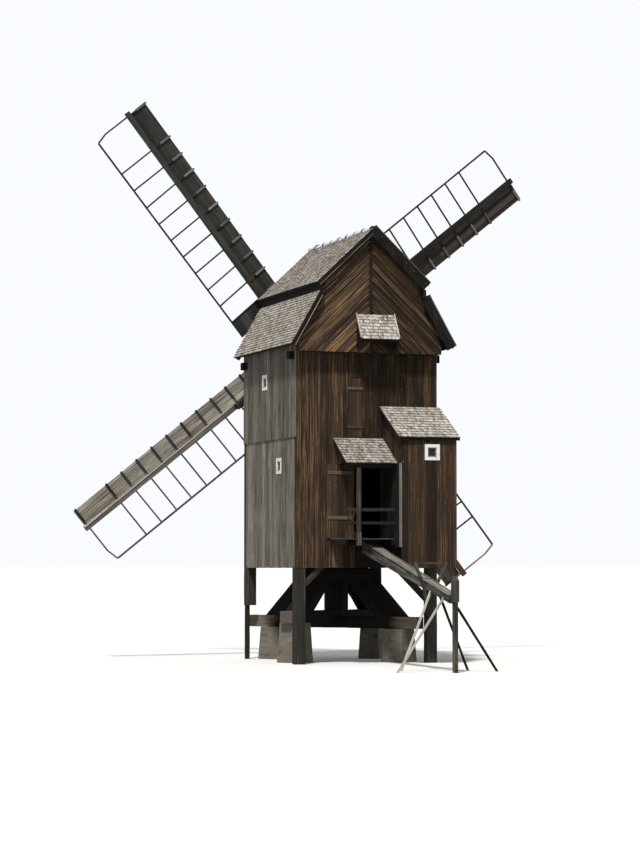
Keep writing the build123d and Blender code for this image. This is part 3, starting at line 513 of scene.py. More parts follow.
for side, word in SIDES:
    for low_edge, high_edge, part_name, shingles in (
        (HIP, RIDGE, "upper", upper_shingles),
        (EAVE, KNEE, "lower", lower_shingles),
    ):
        stack = Joinery()
        run = Vector((side * (high_edge[0] - low_edge[0]), 0, high_edge[1] - low_edge[1]))
        start_y = roof_front_y if side > 0 else ROOF_REAR_Y
        corner = (side * low_edge[0], start_y, low_edge[1])
        shingle_slope(stack, corner, (0, side, 0), run, ROOF_REAR_Y - roof_front_y, run.length)
        stack.finish(f"shingles_{part_name}_{word}", shingles, "shingles")

# %% [markdown]
# The boards of the walls stand upright and are nailed side by side. Those of the weather side have gone grey, those
# of the sheltered rear wall are still dark. The boards are real pieces in front of the solid walls, so their joints
# catch a shadow. The joint over the ledge is where the upper boards hang a little over the lower ones.

# %% Side walls
BOARD = 0.02
side_low, side_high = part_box("side_wall_left")
wall_x, foot_z = side_high.x, side_low.z - 0.01
LEDGE_Z, LEDGE_STEP, EAVE_Z = 7.1, 0.03, 10.27
HALF_PANE = 0.145
# The middle of each window, as (place along its wall, height).
UPPER_WINDOW, LOWER_WINDOW, LEAN_WINDOW = (-3.068, 8.960), (-1.723, 6.218), (-1.549, 6.573)


def upright_wall(stack, out, depth, left, right, bottom, top, hole=None, narrow=0.16, wide=0.26, ragged=0.006):
    """Upright boards on a flat wall. Left and right are places along the wall, depth is where its face lies."""
    out = Vector(out)
    across = UP.cross(out)
    if hole:
        spot, height, half = hole
        sides = (spot - half, spot + half)
        places = strips(left, sides[0], narrow, wide) + strips(sides[1], right, narrow, wide)
        spans = [(place, bottom, top) for place in places]
        for place in strips(*sides, narrow, wide):
            spans += [(place, bottom, height - half), (place, height + half, top)]
    else:
        spans = [(place, bottom, top) for place in strips(left, right, narrow, wide)]
    for (start, end), low, high in spans:
        middle = across * (start + end) / 2 + out * (depth + BOARD / 2 + chance.uniform(-0.002, 0.002))
        foot = low + (chance.uniform(-ragged, ragged) if low == bottom else 0)
        width = end - start - chance.uniform(0.007, 0.017)
        stack.board(middle + UP * foot, middle + UP * high, width, BOARD, out)


for side, word in SIDES:
    ends = sorted((side * (FRONT_Y - 0.02), side * BOARD))
    for name, depth, low, high, (y, z), boards in (
        ("side", wall_x, LEDGE_Z - 0.03, EAVE_Z, UPPER_WINDOW, side_boards),
        ("side_low", wall_x - LEDGE_STEP, foot_z, LEDGE_Z + 0.01, LOWER_WINDOW, low_boards),
    ):
        stack = Joinery()
        upright_wall(stack, (side, 0, 0), depth, *ends, low, high, (side * y, z, HALF_PANE))
        stack.finish(f"boards_{name}_{word}", boards, "side_boards")

# %% [markdown]
# The rear wall is boarded the same way, round the doorway, the upper door and the lean-to. A strip beside the door's
# hinges stays bare, so that the leaf can turn.

# %% Rear and front walls
OUTWARD = (0, 1, 0)
GABLE_Z, LEAN_ROOF_Z = 9.73, 7.9
HATCH_LEFT, HATCH_RIGHT, HATCH_BOTTOM, HATCH_TOP = 0.60, 0.19, 7.096, 8.956
DOOR_STRIP, DOOR_RIGHT, DOOR_TOP = 0.46, -0.50, 6.23

rear = Joinery()
for left, right, bottom, top in (
    (-wall_x, -HATCH_LEFT, foot_z, GABLE_Z),
    (-HATCH_LEFT, -DOOR_STRIP, foot_z, HATCH_BOTTOM),
    (-DOOR_STRIP, -HATCH_RIGHT, DOOR_TOP, HATCH_BOTTOM),
    (-HATCH_LEFT, -HATCH_RIGHT, HATCH_TOP, GABLE_Z),
    (-HATCH_RIGHT, -DOOR_RIGHT, DOOR_TOP, GABLE_Z),
    (-DOOR_RIGHT, wall_x, LEAN_ROOF_Z, GABLE_Z),
):
    upright_wall(rear, OUTWARD, 0, left, right, bottom, top)
rear.finish("boards_rear", rear_boards)

front = Joinery()
upright_wall(front, (0, -1, 0), -FRONT_Y, -wall_x, wall_x, foot_z, GABLE_Z)
front.finish("boards_front", side_boards, "side_boards")

# %% [markdown]
# The boards of the rear gable run up to a middle batten, side by side with the roof. Each board hangs over the next
# lower one, so its lower edge stands out and catches the light. Boards are laid past the outline and then cut by the
# roof. The front gable has upright boards with a square hole, where the windshaft comes out.

# %% Gables
upper_angle = math.atan2(RIDGE[1] - HIP[1], HIP[0])
lower_angle = math.atan2(KNEE[1] - EAVE[1], EAVE[0] - KNEE[0])
ROOF_DEPTH, GABLE_Y, REAR_HALF, FRONT_HALF = 0.08, 0.371, 2.38, 2.35
GABLE_LAP, GABLE_TILT = 0.028, 0.030
SHAFT_HOLE = (0, 10.264, 0.34)


def cut_by_roof(stack, side, half):
    """Cuts boards of a gable by the roof and the corner of the body on one side."""
    upper_out = (side * math.sin(upper_angle), 0, math.cos(upper_angle))
    lower_out = (side * math.sin(lower_angle), 0, math.cos(lower_angle))
    stack.cut((0, 0, RIDGE[1] - ROOF_DEPTH / math.cos(upper_angle)), upper_out)
    stack.cut((side * EAVE[0], 0, EAVE[1] - ROOF_DEPTH / math.cos(lower_angle)), lower_out)
    stack.cut((side * half, 0, 0), (side, 0, 0))


# Painted light and shade: the left half is painted lighter for the sun on it, the right half darker for its shade.
for (side, word), times in zip(SIDES, (1.55, 0.76)):
    gable_wood = wood(f"gable boards {word}", **lighter(dark_brown, times), bare_share=0.75, knots=1.0, contrast=1.8)
    stack = Joinery()
    slope = Vector((-side * math.cos(upper_angle), 0, math.sin(upper_angle)))
    down = Vector((-side * math.sin(upper_angle), 0, -math.cos(upper_angle)))
    for near, far in strips(0.08, 5.2, 0.13, 0.19):
        middle = Vector((0, GABLE_Y, RIDGE[1])) + down * (near + far) / 2
        width = far - near + GABLE_LAP
        out = (Vector(OUTWARD) * width - down * GABLE_TILT).normalized()
        stack.board(middle - slope * 5, middle + slope * 4, width, 0.016, out, edge=0.002)
    stack.cut((side * 0.04, 0, 0), (-side, 0, 0))
    stack.cut((0, 0, GABLE_Z), (0, 0, -1))
    cut_by_roof(stack, side, REAR_HALF)
    stack.finish(f"gable_rear_{word}", gable_wood)
batten = Joinery()
batten.board((0, GABLE_Y + 0.002, 10.90), (0, GABLE_Y + 0.002, RIDGE[1] - 0.13), 0.13, 0.03, OUTWARD)
batten.finish("gable_batten", rear_boards)

stack = Joinery()
upright_wall(stack, (0, -1, 0), -FRONT_Y, -FRONT_HALF, FRONT_HALF, GABLE_Z - 0.01, RIDGE[1], SHAFT_HOLE)
for side in (1, -1):
    cut_by_roof(stack, side, FRONT_HALF)
stack.finish("gable_front", side_boards, "side_boards")

# %% [markdown]
# A deep dark board closes each edge of the roof. A narrower one is nailed over its upper part, and below that runs a
# thin light strip. A short upright piece covers the step at the hip.

# %% Verges
upper_run = Vector((-math.cos(upper_angle), 0, math.sin(upper_angle)))
lower_run = Vector((-math.cos(lower_angle), 0, math.sin(lower_angle)))
verges, light_strips = Joinery(), Joinery()
for way, face_y in ((1, ROOF_REAR_Y), (-1, roof_front_y)):
    for side in (1, -1):
        middle_cut = [((0, 0, 0), (-side, 0, 0))]
        for (x, z), run, length in ((HIP, upper_run, 2.545), (EAVE, lower_run, 1.84)):
            run = run * Vector((side, 1, 1))
            down = Vector((-run.z, 0, run.x))
            for stack, depth, width, thick in ((verges, 0.06, 0.105, 0.022), (light_strips, 0.130, 0.03, 0.028)):
                foot = Vector((side * x, face_y, z)) + down * depth + Vector((0, way * thick / 2, 0))
                end = foot + run * length
                stack.timber(foot, end, width, thick, (0, way, 0), edge=0.003, rough=0, cuts=middle_cut)
        knee = Vector((side * (KNEE[0] - 0.01), face_y + way * 0.014, HIP[1] - 0.3))
        verges.board(knee - UP * 0.12, knee + UP * 0.16, 0.10, 0.028, (0, way, 0))
verges.finish("verge_boards", black_timber)
light_strips.finish("verge_strips", low_boards)

# %% [markdown]
# The lean-to, the gallery and the sack hoist have small roofs of the same shingles, a little longer and rougher at
# their lower edges. The hood of the hoist is steep and stands between two boards.

# %% Small roofs
# Name, lower corner, top as (y, z), length along X, how ragged the edges are, length of a shingle that shows, finish.
small_roofs = (
    ("lean_to", (-0.415, 1.73, 7.035), (0, 8.066), 2.035, 0.014, 0.17, bright_shingles),
    ("canopy", (1.14, 1.25, 6.235), (0, 7.05), 1.685, 0.018, 0.15, porch_shingles),
    ("hoist", (0.48, 0.83, 10.14), (0.35, 10.94), 1.26, 0.014, 0.114, bright_shingles),
)
for name, corner, top, length, ragged, reveal, shingles in small_roofs:
    stack = Joinery()
    slope = Vector((0, top[0] - corner[1], top[1] - corner[2]))
    shingle_slope(stack, corner, (-1, 0, 0), slope, length, slope.length, reveal, 0.03, ragged,
                  wide=0.10, thick=0.032)
    if name == "hoist":
        for x in (-0.785, 0.485):
            foot = Vector((x, corner[1] + 0.012, corner[2] + 0.015))
            stack.board(foot, foot + slope, 0.07, 0.03, (1, 0, 0))
    stack.finish(f"shingles_{name}", shingles, "shingles")

# %% [markdown]
# Half-round caps of burnt clay ride on the ridge. Each laps over the next, and a dark band painted at each joint
# draws a row of dark arcs.
# A cap is a short tube cut in half, a little wider at one end. It is spun round its own axis from an arch.

# %% Ridge caps
CAPS, CAP_RADIUS, CAP_THICK, CAP_SINK = 8, 0.125, 0.022, 0.055
cap_length = (ROOF_REAR_Y - roof_front_y) / CAPS
clay = Finish("ridge clay")
place = clay.object_place()
patches, grit = clay.noise(place, 5, 4), clay.noise(place, 60, 3)
shade = clay.node("ValToRGB", {"stops": [(0.3, (0.66, 0.70, 0.71)), (0.6, (0.84, 0.88, 0.89))]}, {0: patches})
shade = clay.mix(shade, (0.20, 0.20, 0.18), clay.step(grit, 0.58, 0.72) * 0.25)
way_along = clay.node("SeparateXYZ", None, {0: place}, output=1)
joint = (((way_along - roof_front_y) / cap_length).math("FRACT") - 0.5).math("ABSOLUTE")
shade = clay.mix(shade, (0.03, 0.03, 0.03), clay.step(joint, 0.44, 0.46))
clay.set(Base_Color=shade, Roughness=clay.step(patches, 0.3, 0.7, 0.6, 0.85), Normal=clay.bump(grit, 0.002))

row = bmesh.new()
for index in range(CAPS):
    cap = bmesh.new()
    near, far = max(index - 0.12, 0) * cap_length + roof_front_y, (index + 1) * cap_length + roof_front_y
    narrow = CAP_RADIUS * 0.86
    arch = [(narrow, near), (narrow - CAP_THICK, near), (CAP_RADIUS - CAP_THICK, far), (CAP_RADIUS, far)]
    corners = [cap.verts.new((x, y, 0)) for x, y in arch]
    edges = [cap.edges.new((corners[i - 1], corners[i])) for i in (1, 2, 3, 0)]
    bmesh.ops.spin(cap, geom=corners + edges, cent=(0, 0, 0), axis=(0, 1, 0), angle=-math.pi, steps=12,
                   dvec=(0, 0, 0))
    bmesh.ops.holes_fill(cap, edges=[edge for edge in cap.edges if edge.is_boundary], sides=4)
    bmesh.ops.recalc_face_normals(cap, faces=cap.faces[:])
    tip = Matrix.Rotation(math.radians(chance.uniform(-0.8, 0.8)), 4, "Y")
    shift = chance.uniform(-0.006, 0.006)
    rise = chance.uniform(0, 0.012) if index else 0.03
    lift = Matrix.Translation((shift, 0, RIDGE[1] - CAP_SINK + rise))
    bmesh.ops.transform(cap, matrix=lift @ tip, verts=cap.verts[:])
    pour(cap, row)
faces = make_piece(row, "ridge_caps", clay.material, "shingles", ["ridge_cap"], "mill")
print("ridge_caps:", CAPS, "caps,", faces, "faces")

# %% [markdown]
# The lean-to is boarded like the body. Its wall beside the gallery is painted black under the canopy, as painted
# shade, apart from one grey board at its outer edge.

# %% Lean-to walls
LEAN_BOTTOM, LEAN_TOP, LEAN_EAVE, PORCH_BOTTOM, PORCH_TOP = 3.0, 8.05, 7.035, 3.64, 6.24
LEAN_INNER, LEAN_OUTER, LEAN_FACE, PORCH_EDGE = 0.545, 2.35, 1.63, 1.44
under_roof = ((0, 0, 7.965), (0, 1.031, 1.73))
lean_wood = wood("lean-to boards", **lighter(dark_brown, 0.75), bare_share=0.5, knots=0.8)

lean = Joinery()
lean_hole = (-LEAN_WINDOW[0], LEAN_WINDOW[1], HALF_PANE)
upright_wall(lean, OUTWARD, LEAN_FACE, LEAN_INNER, LEAN_OUTER + BOARD, LEAN_BOTTOM - 0.02, LEAN_EAVE - 0.05,
             lean_hole)
upright_wall(lean, (1, 0, 0), -LEAN_INNER, 0.022, LEAN_FACE + BOARD, PORCH_TOP, LEAN_TOP)
lean.cut(*under_roof)
lean.finish("boards_lean_to", lean_wood)
# Painted shade: the boards under the canopy are black.
for near, far, name, boards in (
    (0.022, PORCH_EDGE, "boards_porch", black_timber),
    (PORCH_EDGE, LEAN_FACE + BOARD, "board_porch_edge", low_boards),
):
    lean = Joinery()
    upright_wall(lean, (1, 0, 0), -LEAN_INNER, near, far, PORCH_BOTTOM - 0.01, PORCH_TOP - 0.005)
    lean.finish(name, boards)
lean = Joinery()
upright_wall(lean, (-1, 0, 0), LEAN_OUTER, -LEAN_FACE - BOARD, -0.022, LEAN_BOTTOM - 0.01, LEAN_TOP)
lean.cut(*under_roof)
lean.finish("boards_lean_to_side", side_boards, "side_boards")

# %% [markdown]
# The door leaf is a row of planks on two battens. It stands open, flat on the wall, so the battens face outwards. The
# upper door is closed. Its two pale battens reach a little past the planks.

# %% Doors
PLANK, HATCH_GAP = 0.022, 0.006
door_wood = wood("door planks", **dark_brown, bare_share=0.35, knots=0.4)
pale_batten = wood("door battens", (0.05, 0.036, 0.026), (0.11, 0.082, 0.058), (0.18, 0.14, 0.10), (0.24, 0.17, 0.10),
                   bare_share=0.5, knots=0.3)
leaf_low, leaf_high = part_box("door_leaf")
leaf = Joinery()
for left, right in strips(leaf_low.x, leaf_high.x, 0.17, 0.20):
    middle = Vector(((left + right) / 2, leaf_low.y + PLANK / 2, 0))
    leaf.board(middle + UP * leaf_low.z, middle + UP * leaf_high.z, right - left - 0.004, PLANK, OUTWARD)
leaf.finish("door_leaf_planks", door_wood, "door_planks", ["door_leaf"], body="door")
battens = Joinery()
for height in (4.551, 5.966):
    start = Vector((leaf_low.x + 0.04, leaf_low.y + PLANK * 1.5, height))
    end = Vector((leaf_high.x - 0.03, leaf_low.y + PLANK * 1.5, height))
    battens.board(start, end, 0.11, PLANK, OUTWARD, edge=0.006)
battens.finish("door_leaf_battens", pale_batten, "door_planks", body="door")

hatch = Joinery()
hatch_box = (HATCH_GAP - HATCH_LEFT, -HATCH_RIGHT - HATCH_GAP, HATCH_BOTTOM + HATCH_GAP, HATCH_TOP - HATCH_GAP)
upright_wall(hatch, OUTWARD, -0.012, *hatch_box, narrow=0.12, wide=0.16, ragged=0)
hatch.finish("upper_door_planks", door_wood)
battens = Joinery()
for height in (7.406, 8.618):
    battens.board((0.14, 0.024, height), (0.66, 0.024, height), 0.085, 0.028, OUTWARD, edge=0.006)
battens.finish("upper_door_battens", pale_batten)

# %% [markdown]
# The windows are small. White boards frame each one on the boarding, with a thin sash and a sill inside them.

# %% Windows
CASING, CASING_DEPTH, SASH = 0.105, 0.035, 0.028
white = Finish("white paint")
place = white.object_place()
worn, fine = white.noise(place, 9, 4), white.noise(place, 70, 3)
shade = white.mix((0.90, 0.92, 0.91), (0.62, 0.59, 0.54), white.step(worn, 0.5, 0.72))
shade = white.mix(shade, (0.16, 0.13, 0.10), white.step(fine * 0.6 + worn * 0.4, 0.62, 0.66) * 0.8)
white.set(Base_Color=shade, Roughness=white.step(worn, 0.3, 0.7, 0.45, 0.7))
white.set(Normal=white.bump(worn + fine * 0.3, 0.001))
sash_grey = Finish("sash paint")
worn = sash_grey.noise(sash_grey.object_place(), 14, 4)
sash_grey.set(Base_Color=sash_grey.mix((0.34, 0.35, 0.34), (0.20, 0.19, 0.17), sash_grey.step(worn, 0.4, 0.65)))
sash_grey.set(Roughness=sash_grey.step(worn, 0.3, 0.7, 0.5, 0.75))
frames, sashes = Joinery(), Joinery()


def window(centre, out):
    """Four casing boards, a sash of four thin bars behind them and a sill under the pane."""
    centre, out = Vector(centre), Vector(out)
    across = UP.cross(out)
    face = centre + out * CASING_DEPTH / 2
    inside = centre - out * 0.012
    outer = HALF_PANE + CASING
    for side in (1, -1):
        rail = face + UP * side * (HALF_PANE + CASING / 2)
        frames.board(rail - across * outer, rail + across * outer, CASING, CASING_DEPTH, out, edge=0.004)
        stile = face + across * side * (HALF_PANE + CASING / 2)
        frames.board(stile - UP * HALF_PANE, stile + UP * HALF_PANE, CASING, CASING_DEPTH - 0.003, out, edge=0.004)
        bar = inside + UP * side * (HALF_PANE - SASH / 2)
        sashes.board(bar - across * HALF_PANE, bar + across * HALF_PANE, SASH, 0.024, out)
        bar = inside + across * side * (HALF_PANE - SASH / 2)
        sashes.board(bar - UP * HALF_PANE, bar + UP * HALF_PANE, SASH, 0.022, out)
    sill = centre - UP * (HALF_PANE - 0.008) + out * 0.018
    sashes.board(sill - across * HALF_PANE, sill + across * HALF_PANE, 0.05, 0.016, UP)


for side in (1, -1):
    window((side * wall_x, *UPPER_WINDOW), (side, 0, 0))
    window((side * (wall_x - LEDGE_STEP), *LOWER_WINDOW), (side, 0, 0))
window((LEAN_WINDOW[0], LEAN_FACE, LEAN_WINDOW[1]), OUTWARD)
frames.finish("window_frames", white.material, "white_paint", ["window_casings"])
sashes.finish("window_sashes", sash_grey.material, "white_paint")

# %% [markdown]
# A sail hangs on its whip, a long tapering timber that is clamped to the stock. Bars go through the whip and carry
# the cloth on one side and a row of thin boards on the other. The whole sail is twisted like a propeller: steeper
# near the hub, flatter at the tip. So each part is made flat first, then every point is put on the twisted surface.

# %% Twisted sails
HUB, TILT, SAIL_ANGLE = Vector((0, -6.06, 10.33)), math.radians(5), 50.6
STOCK_GAP, WHIP_BACK, WHIP_START, BAR_SEAT = 0.4, 0.15, 0.7, 0.07
HEM, HEEL, FLAT, BAR_DEPTH, BAR_WIDTH = 1.425, 1.65, 9.5, 0.05, 0.05
FIRST_BAR, BAR_COUNT, BEND_OUT, BEND_IN, BAR_PAST = 2.27, 10, 0.10, 0.40, 0.04
BOARD_EDGE, NARROW_EDGE, SAIL_PLANK = 0.74, 0.69, 0.020
heel_slope, tip_slope = math.tan(math.radians(13)), math.tan(math.radians(6))
wind = Vector((0, -math.cos(TILT), math.sin(TILT)))
front_pair = dict(last_bar=8.415, hem_end=9.68, board_end=9.78, tip=9.90)
rear_pair = dict(last_bar=8.125, hem_end=9.36, board_end=9.54, tip=9.60)


def sail_place(index):
    """Where sail number index goes: X out along it, Y towards its boards, Z towards the wind."""
    angle = math.radians(SAIL_ANGLE + 90 * index)
    along = Vector((math.cos(angle), 0, 0)) + Vector((0, math.sin(TILT), math.cos(TILT))) * math.sin(angle)
    turn = Matrix((along, wind.cross(along), wind)).transposed().to_4x4()
    shift = STOCK_GAP / 2 if index % 2 == 0 else -STOCK_GAP / 2
    return Matrix.Translation(HUB + wind * shift) @ turn


def weather(reach):
    """How steep the sail is at a distance from the hub."""
    return heel_slope + (tip_slope - heel_slope) * (reach - HEEL) / (FLAT - HEEL)


def on_sail(place, lift, bow):
    """A rule that takes a point of the flat sail to its place on the twisted one."""
    def rule(point):
        share = (HEM + point.y) / (HEM + BOARD_EDGE + 0.05)
        sag = bow * math.sin(math.pi * min(1, max(0, share)))
        surface = WHIP_BACK + BAR_SEAT + lift + point.y * weather(point.x)
        return place @ Vector((point.x + sag, point.y, point.z + surface))
    return rule


def sail_part(stack, place, start, end, width, depth, lift=0.0, edge=0.004, bow=0.0):
    """A bar or plank of a sail between two points (reach, across) of its surface."""
    length = math.dist(start, end)
    part = box(length, width, depth)
    ease(part, part.edges[:], edge)
    bmesh.ops.subdivide_edges(part, edges=long_edges(part, length / 2), cuts=max(1, int(length / 0.4)))
    stack.add(part, along_board((*start, 0), (*end, 0), UP), on_sail(place, lift, bow))


print("sail surface:", *(round(math.degrees(math.atan(weather(reach)))) for reach in (HEEL, FLAT)), "degrees")

# %% [markdown]
# The wood of the four sails has aged unevenly. The lower left sail is bleached, the upper right one is nearly black,
# and the last bar of the lower right one is new. Each wood has four colours, from its darkest to its barest.

# %% Woods of the sails
sail_dark = wood("sail timber", (0.020, 0.016, 0.012), (0.055, 0.045, 0.036), (0.11, 0.093, 0.074),
                 (0.19, 0.145, 0.10), bare_share=0.35, knots=0.2, relief=0.002)
sail_pale = wood("bleached sail boards", (0.13, 0.115, 0.095), (0.31, 0.285, 0.245), (0.52, 0.49, 0.43),
                 (0.54, 0.47, 0.37), bare_share=0.4, knots=0.2, contrast=1.8)
sail_grey = wood("grey sail boards", (0.016, 0.016, 0.015), (0.042, 0.041, 0.038), (0.09, 0.087, 0.078),
                 (0.14, 0.12, 0.095), bare_share=0.3, knots=0.15)
whip_pale = wood("bleached whip", (0.08, 0.072, 0.062), (0.20, 0.185, 0.16), (0.34, 0.32, 0.28),
                 (0.40, 0.35, 0.28), bare_share=0.4, knots=0.15)
whip_grey = wood("grey whip", (0.012, 0.012, 0.011), (0.030, 0.030, 0.028), (0.065, 0.064, 0.058),
                 (0.10, 0.092, 0.078), bare_share=0.3, knots=0.1)
# A painted highlight for the lit edge of the bleached whip.
whip_highlight_wood = wood("painted highlight on whip", (0.25, 0.235, 0.21), (0.50, 0.475, 0.43), (0.70, 0.67, 0.61),
                 (0.62, 0.55, 0.45), bare_share=0.3, knots=0.1)
cleat_wood = wood("sail cleats", (0.07, 0.068, 0.062), (0.16, 0.155, 0.14), (0.28, 0.27, 0.245),
                  (0.30, 0.27, 0.22), bare_share=0.4, knots=0.1)
bar_wood = wood("sail bars", (0.012, 0.012, 0.012), (0.032, 0.032, 0.032), (0.07, 0.07, 0.068),
                (0.12, 0.11, 0.095), bare_share=0.3, knots=0.1)
bar_pale = wood("grey sail bars", (0.035, 0.035, 0.036), (0.09, 0.091, 0.094), (0.17, 0.17, 0.17),
                (0.20, 0.185, 0.16), bare_share=0.3, knots=0.1)
fresh_wood = wood("fresh bar", (0.22, 0.12, 0.05), (0.42, 0.25, 0.11), (0.58, 0.38, 0.19),
                  (0.60, 0.42, 0.24), bare_share=0.3, knots=0.2)
sail_woods = (
    dict(planks=sail_grey, whip=whip_grey, cleats=cleat_wood, bars=bar_wood, last_bar=bar_wood),
    dict(planks=sail_dark, whip=whip_grey, cleats=cleat_wood, bars=bar_wood, last_bar=bar_wood),
    dict(planks=sail_dark, whip=sail_dark, cleats=bar_wood, bars=bar_wood, last_bar=fresh_wood),
    dict(planks=sail_pale, whip=whip_pale, cleats=bar_wood, bars=bar_pale, last_bar=bar_pale),
)
print("woods of", len(sail_woods), "sails")

# %% [markdown]
# The bars run right across and a little beyond the boards, where a cleat thickens each one. The pair on the front
# stock reaches further. The last bar bends back to the corner of the frame, and its bay is twice as wide as the rest.
# Dark boards close the bay beside the hub.

# %% Sails
for index, woods in enumerate(sail_woods):
    place = sail_place(index)
    size = rear_pair if index % 2 else front_pair
    board_edge = NARROW_EDGE if index == 3 else BOARD_EDGE
    hem_end, tip_bar = size["hem_end"], size["hem_end"] + BEND_OUT
    cleat_start = board_edge - 0.42 if index < 2 else 0.20
    bars, last_bar, cleats = Joinery(), Joinery(), Joinery()
    sail_part(bars, place, (HEEL, -HEM), (hem_end, -HEM), 0.06, BAR_DEPTH, edge=0.006)
    pitch = (size["last_bar"] - FIRST_BAR) / (BAR_COUNT - 1)
    for reach in [FIRST_BAR + pitch * step for step in range(BAR_COUNT)] + [tip_bar]:
        slip, stack = chance.uniform(-0.01, 0.01), bars
        end = (reach - slip, board_edge + BAR_PAST + chance.uniform(-0.012, 0))
        start = (reach + slip, -HEM - 0.02)
        if reach == tip_bar:
            start, slip, stack = (reach, BEND_IN - HEM), 0, last_bar
            sail_part(stack, place, (hem_end, -HEM), start, BAR_WIDTH, BAR_DEPTH)
        sail_part(stack, place, start, end, BAR_WIDTH, BAR_DEPTH, bow=chance.uniform(-0.006, 0.006))
        sail_part(cleats, place, (reach - slip, cleat_start), (reach - slip, end[1] - 0.01), 0.07, 0.054)
    bars.finish(f"sail_frame_{index + 1}", woods["bars"], "sail_timber", [f"sail_lattice_{index + 1}"], "rotor")
    last_bar.finish(f"sail_tip_bar_{index + 1}", woods["last_bar"], "sail_timber", body="rotor")
    cleats.finish(f"sail_cleats_{index + 1}", woods["cleats"], "sail_timber", body="rotor")

    planks = Joinery()
    for number, (near, far) in enumerate(strips(0.10, board_edge - 0.009, 0.14, 0.18)):
        joint = chance.uniform(4.2, 6.4)
        middle, lift = (near + far) / 2, 0.031 + 0.004 * (number % 2)
        for low, high in ((HEEL, joint), (joint - 0.01, size["board_end"])):
            lift += 0.0015
            sail_part(planks, place, (low, middle), (high, middle), far - near + 0.004, SAIL_PLANK, lift)
    for number, (near, far) in enumerate(strips(-1.395, -0.125, 0.16, 0.24)):
        start, end = (HEEL, (near + far) / 2), (FIRST_BAR - BAR_WIDTH / 2, (near + far) / 2)
        sail_part(planks, place, start, end, far - near + 0.004, SAIL_PLANK, 0.004 * (number % 2))
    planks.finish(f"sail_planks_{index + 1}", woods["planks"], "sail_planks", ["sail_boards"], "rotor")

# %% [markdown]
# The whips and the stocks are the long timbers of the rotor. They taper towards their tips, and they are hewn, so
# their faces waver. A thin pale strip along the back edge of the bleached whip is a painted highlight, where that
# edge catches the light.

# %% Whips and stocks
WHIP_ROOT, WHIP_TIP = (0.21, 0.17), (0.18, 0.11)
STOCK_SIZE, STOCK_END, STOCK_HALF, HEAD = 0.30, 0.20, 3.1, 0.6


def tapered(stack, place, stations, rough=0.004, rings=14, rule=None):
    """A timber that changes size along its length. Each station is (reach, middle height, width, depth)."""
    first, last = stations[0][0], stations[-1][0]
    part = box(last - first, 1, 1)
    ease(part, long_edges(part, 0.1), 0.08, segments=2)
    bmesh.ops.subdivide_edges(part, edges=long_edges(part, 0.1), cuts=rings)
    for vert in part.verts:
        reach = vert.co.x + (first + last) / 2
        index = max(i for i in range(len(stations) - 1) if stations[i][0] <= reach + 1e-6)
        before, after = stations[index], stations[index + 1]
        share = (reach - before[0]) / (after[0] - before[0])
        middle, width, depth = (a + (b - a) * share for a, b in zip(before[1:], after[1:]))
        shake = rough * chance.uniform(-1, 1) if first + 0.01 < reach < last - 0.01 else 0
        vert.co = Vector((reach, vert.co.y * width + shake, middle + vert.co.z * depth + shake))
    stack.add(part, place, rule)


for index, woods in enumerate(sail_woods):
    whip = Joinery()
    reaches = (WHIP_START, (rear_pair if index % 2 else front_pair)["tip"])
    stations = [(reach, WHIP_BACK + size[1] / 2, *size) for reach, size in zip(reaches, (WHIP_ROOT, WHIP_TIP))]
    tapered(whip, sail_place(index), stations)
    whip.finish(f"whip_timber_{index + 1}", woods["whip"], "sail_timber", ["whips"], "rotor")
# Painted highlight: a pale strip on the whip's edge.
bleached = Joinery()
ends = [sail_place(3) @ Vector((*spot, WHIP_BACK - 0.008)) for spot in ((2.2, 0.088), (9.59, 0.074))]
bleached.board(*ends, 0.034, 0.02, wind)
bleached.finish("whip_edge", whip_highlight_wood, "sail_timber", body="rotor")
stocks = Joinery()
for index in range(2):
    spots = ((-STOCK_HALF, STOCK_END), (-HEAD, STOCK_SIZE), (HEAD, STOCK_SIZE), (STOCK_HALF, STOCK_END))
    tapered(stocks, sail_place(index), [(reach, 0, width, STOCK_SIZE) for reach, width in spots])
stocks.finish("stock_timbers", sail_dark, "sail_timber", ["stocks"], "rotor")

# %% [markdown]
# Forged iron holds the wood together: three bands clamp each whip to its stock. A band is a flat bar bent round the
# timbers, here four thin plates in a ring.

# %% Iron
BAND_WIDTH, BAND_THICK = 0.07, 0.008
iron = Finish("forged iron")
place = iron.object_place()
blotch, pits = iron.noise(place, 7, 4), iron.noise(place, 90, 3)
shade = iron.node("ValToRGB", {"stops": [(0.35, (0.035, 0.030, 0.027)), (0.7, (0.075, 0.048, 0.032))]}, {0: blotch})
iron.set(Base_Color=iron.mix(shade, (0.13, 0.06, 0.03), iron.step(pits, 0.58, 0.7) * 0.6))
iron.set(Metallic=iron.step(blotch, 0.5, 0.7, 0.8, 0.25), Roughness=iron.step(pits, 0.3, 0.7, 0.45, 0.8))
iron.set(Normal=iron.bump(pits, 0.0015))


def band(stack, place, reach, low, high, half):
    """A flat iron ring round a timber that lies along X. Low and high are its faces across the wind."""
    turn = place.to_3x3()
    for side in (1, -1):
        y = side * (half + BAND_THICK / 2)
        ends = [place @ Vector((reach, y, z)) for z in (low - BAND_THICK, high + BAND_THICK)]
        stack.board(*ends, BAND_WIDTH, BAND_THICK, turn @ Vector((0, side, 0)), edge=0.002)
        level = (low + high) / 2 + side * (high - low + BAND_THICK) / 2
        ends = [place @ Vector((reach, y, level)) for y in (-half, half)]
        stack.board(*ends, BAND_WIDTH, BAND_THICK, turn @ Vector((0, 0, side)), edge=0.002)


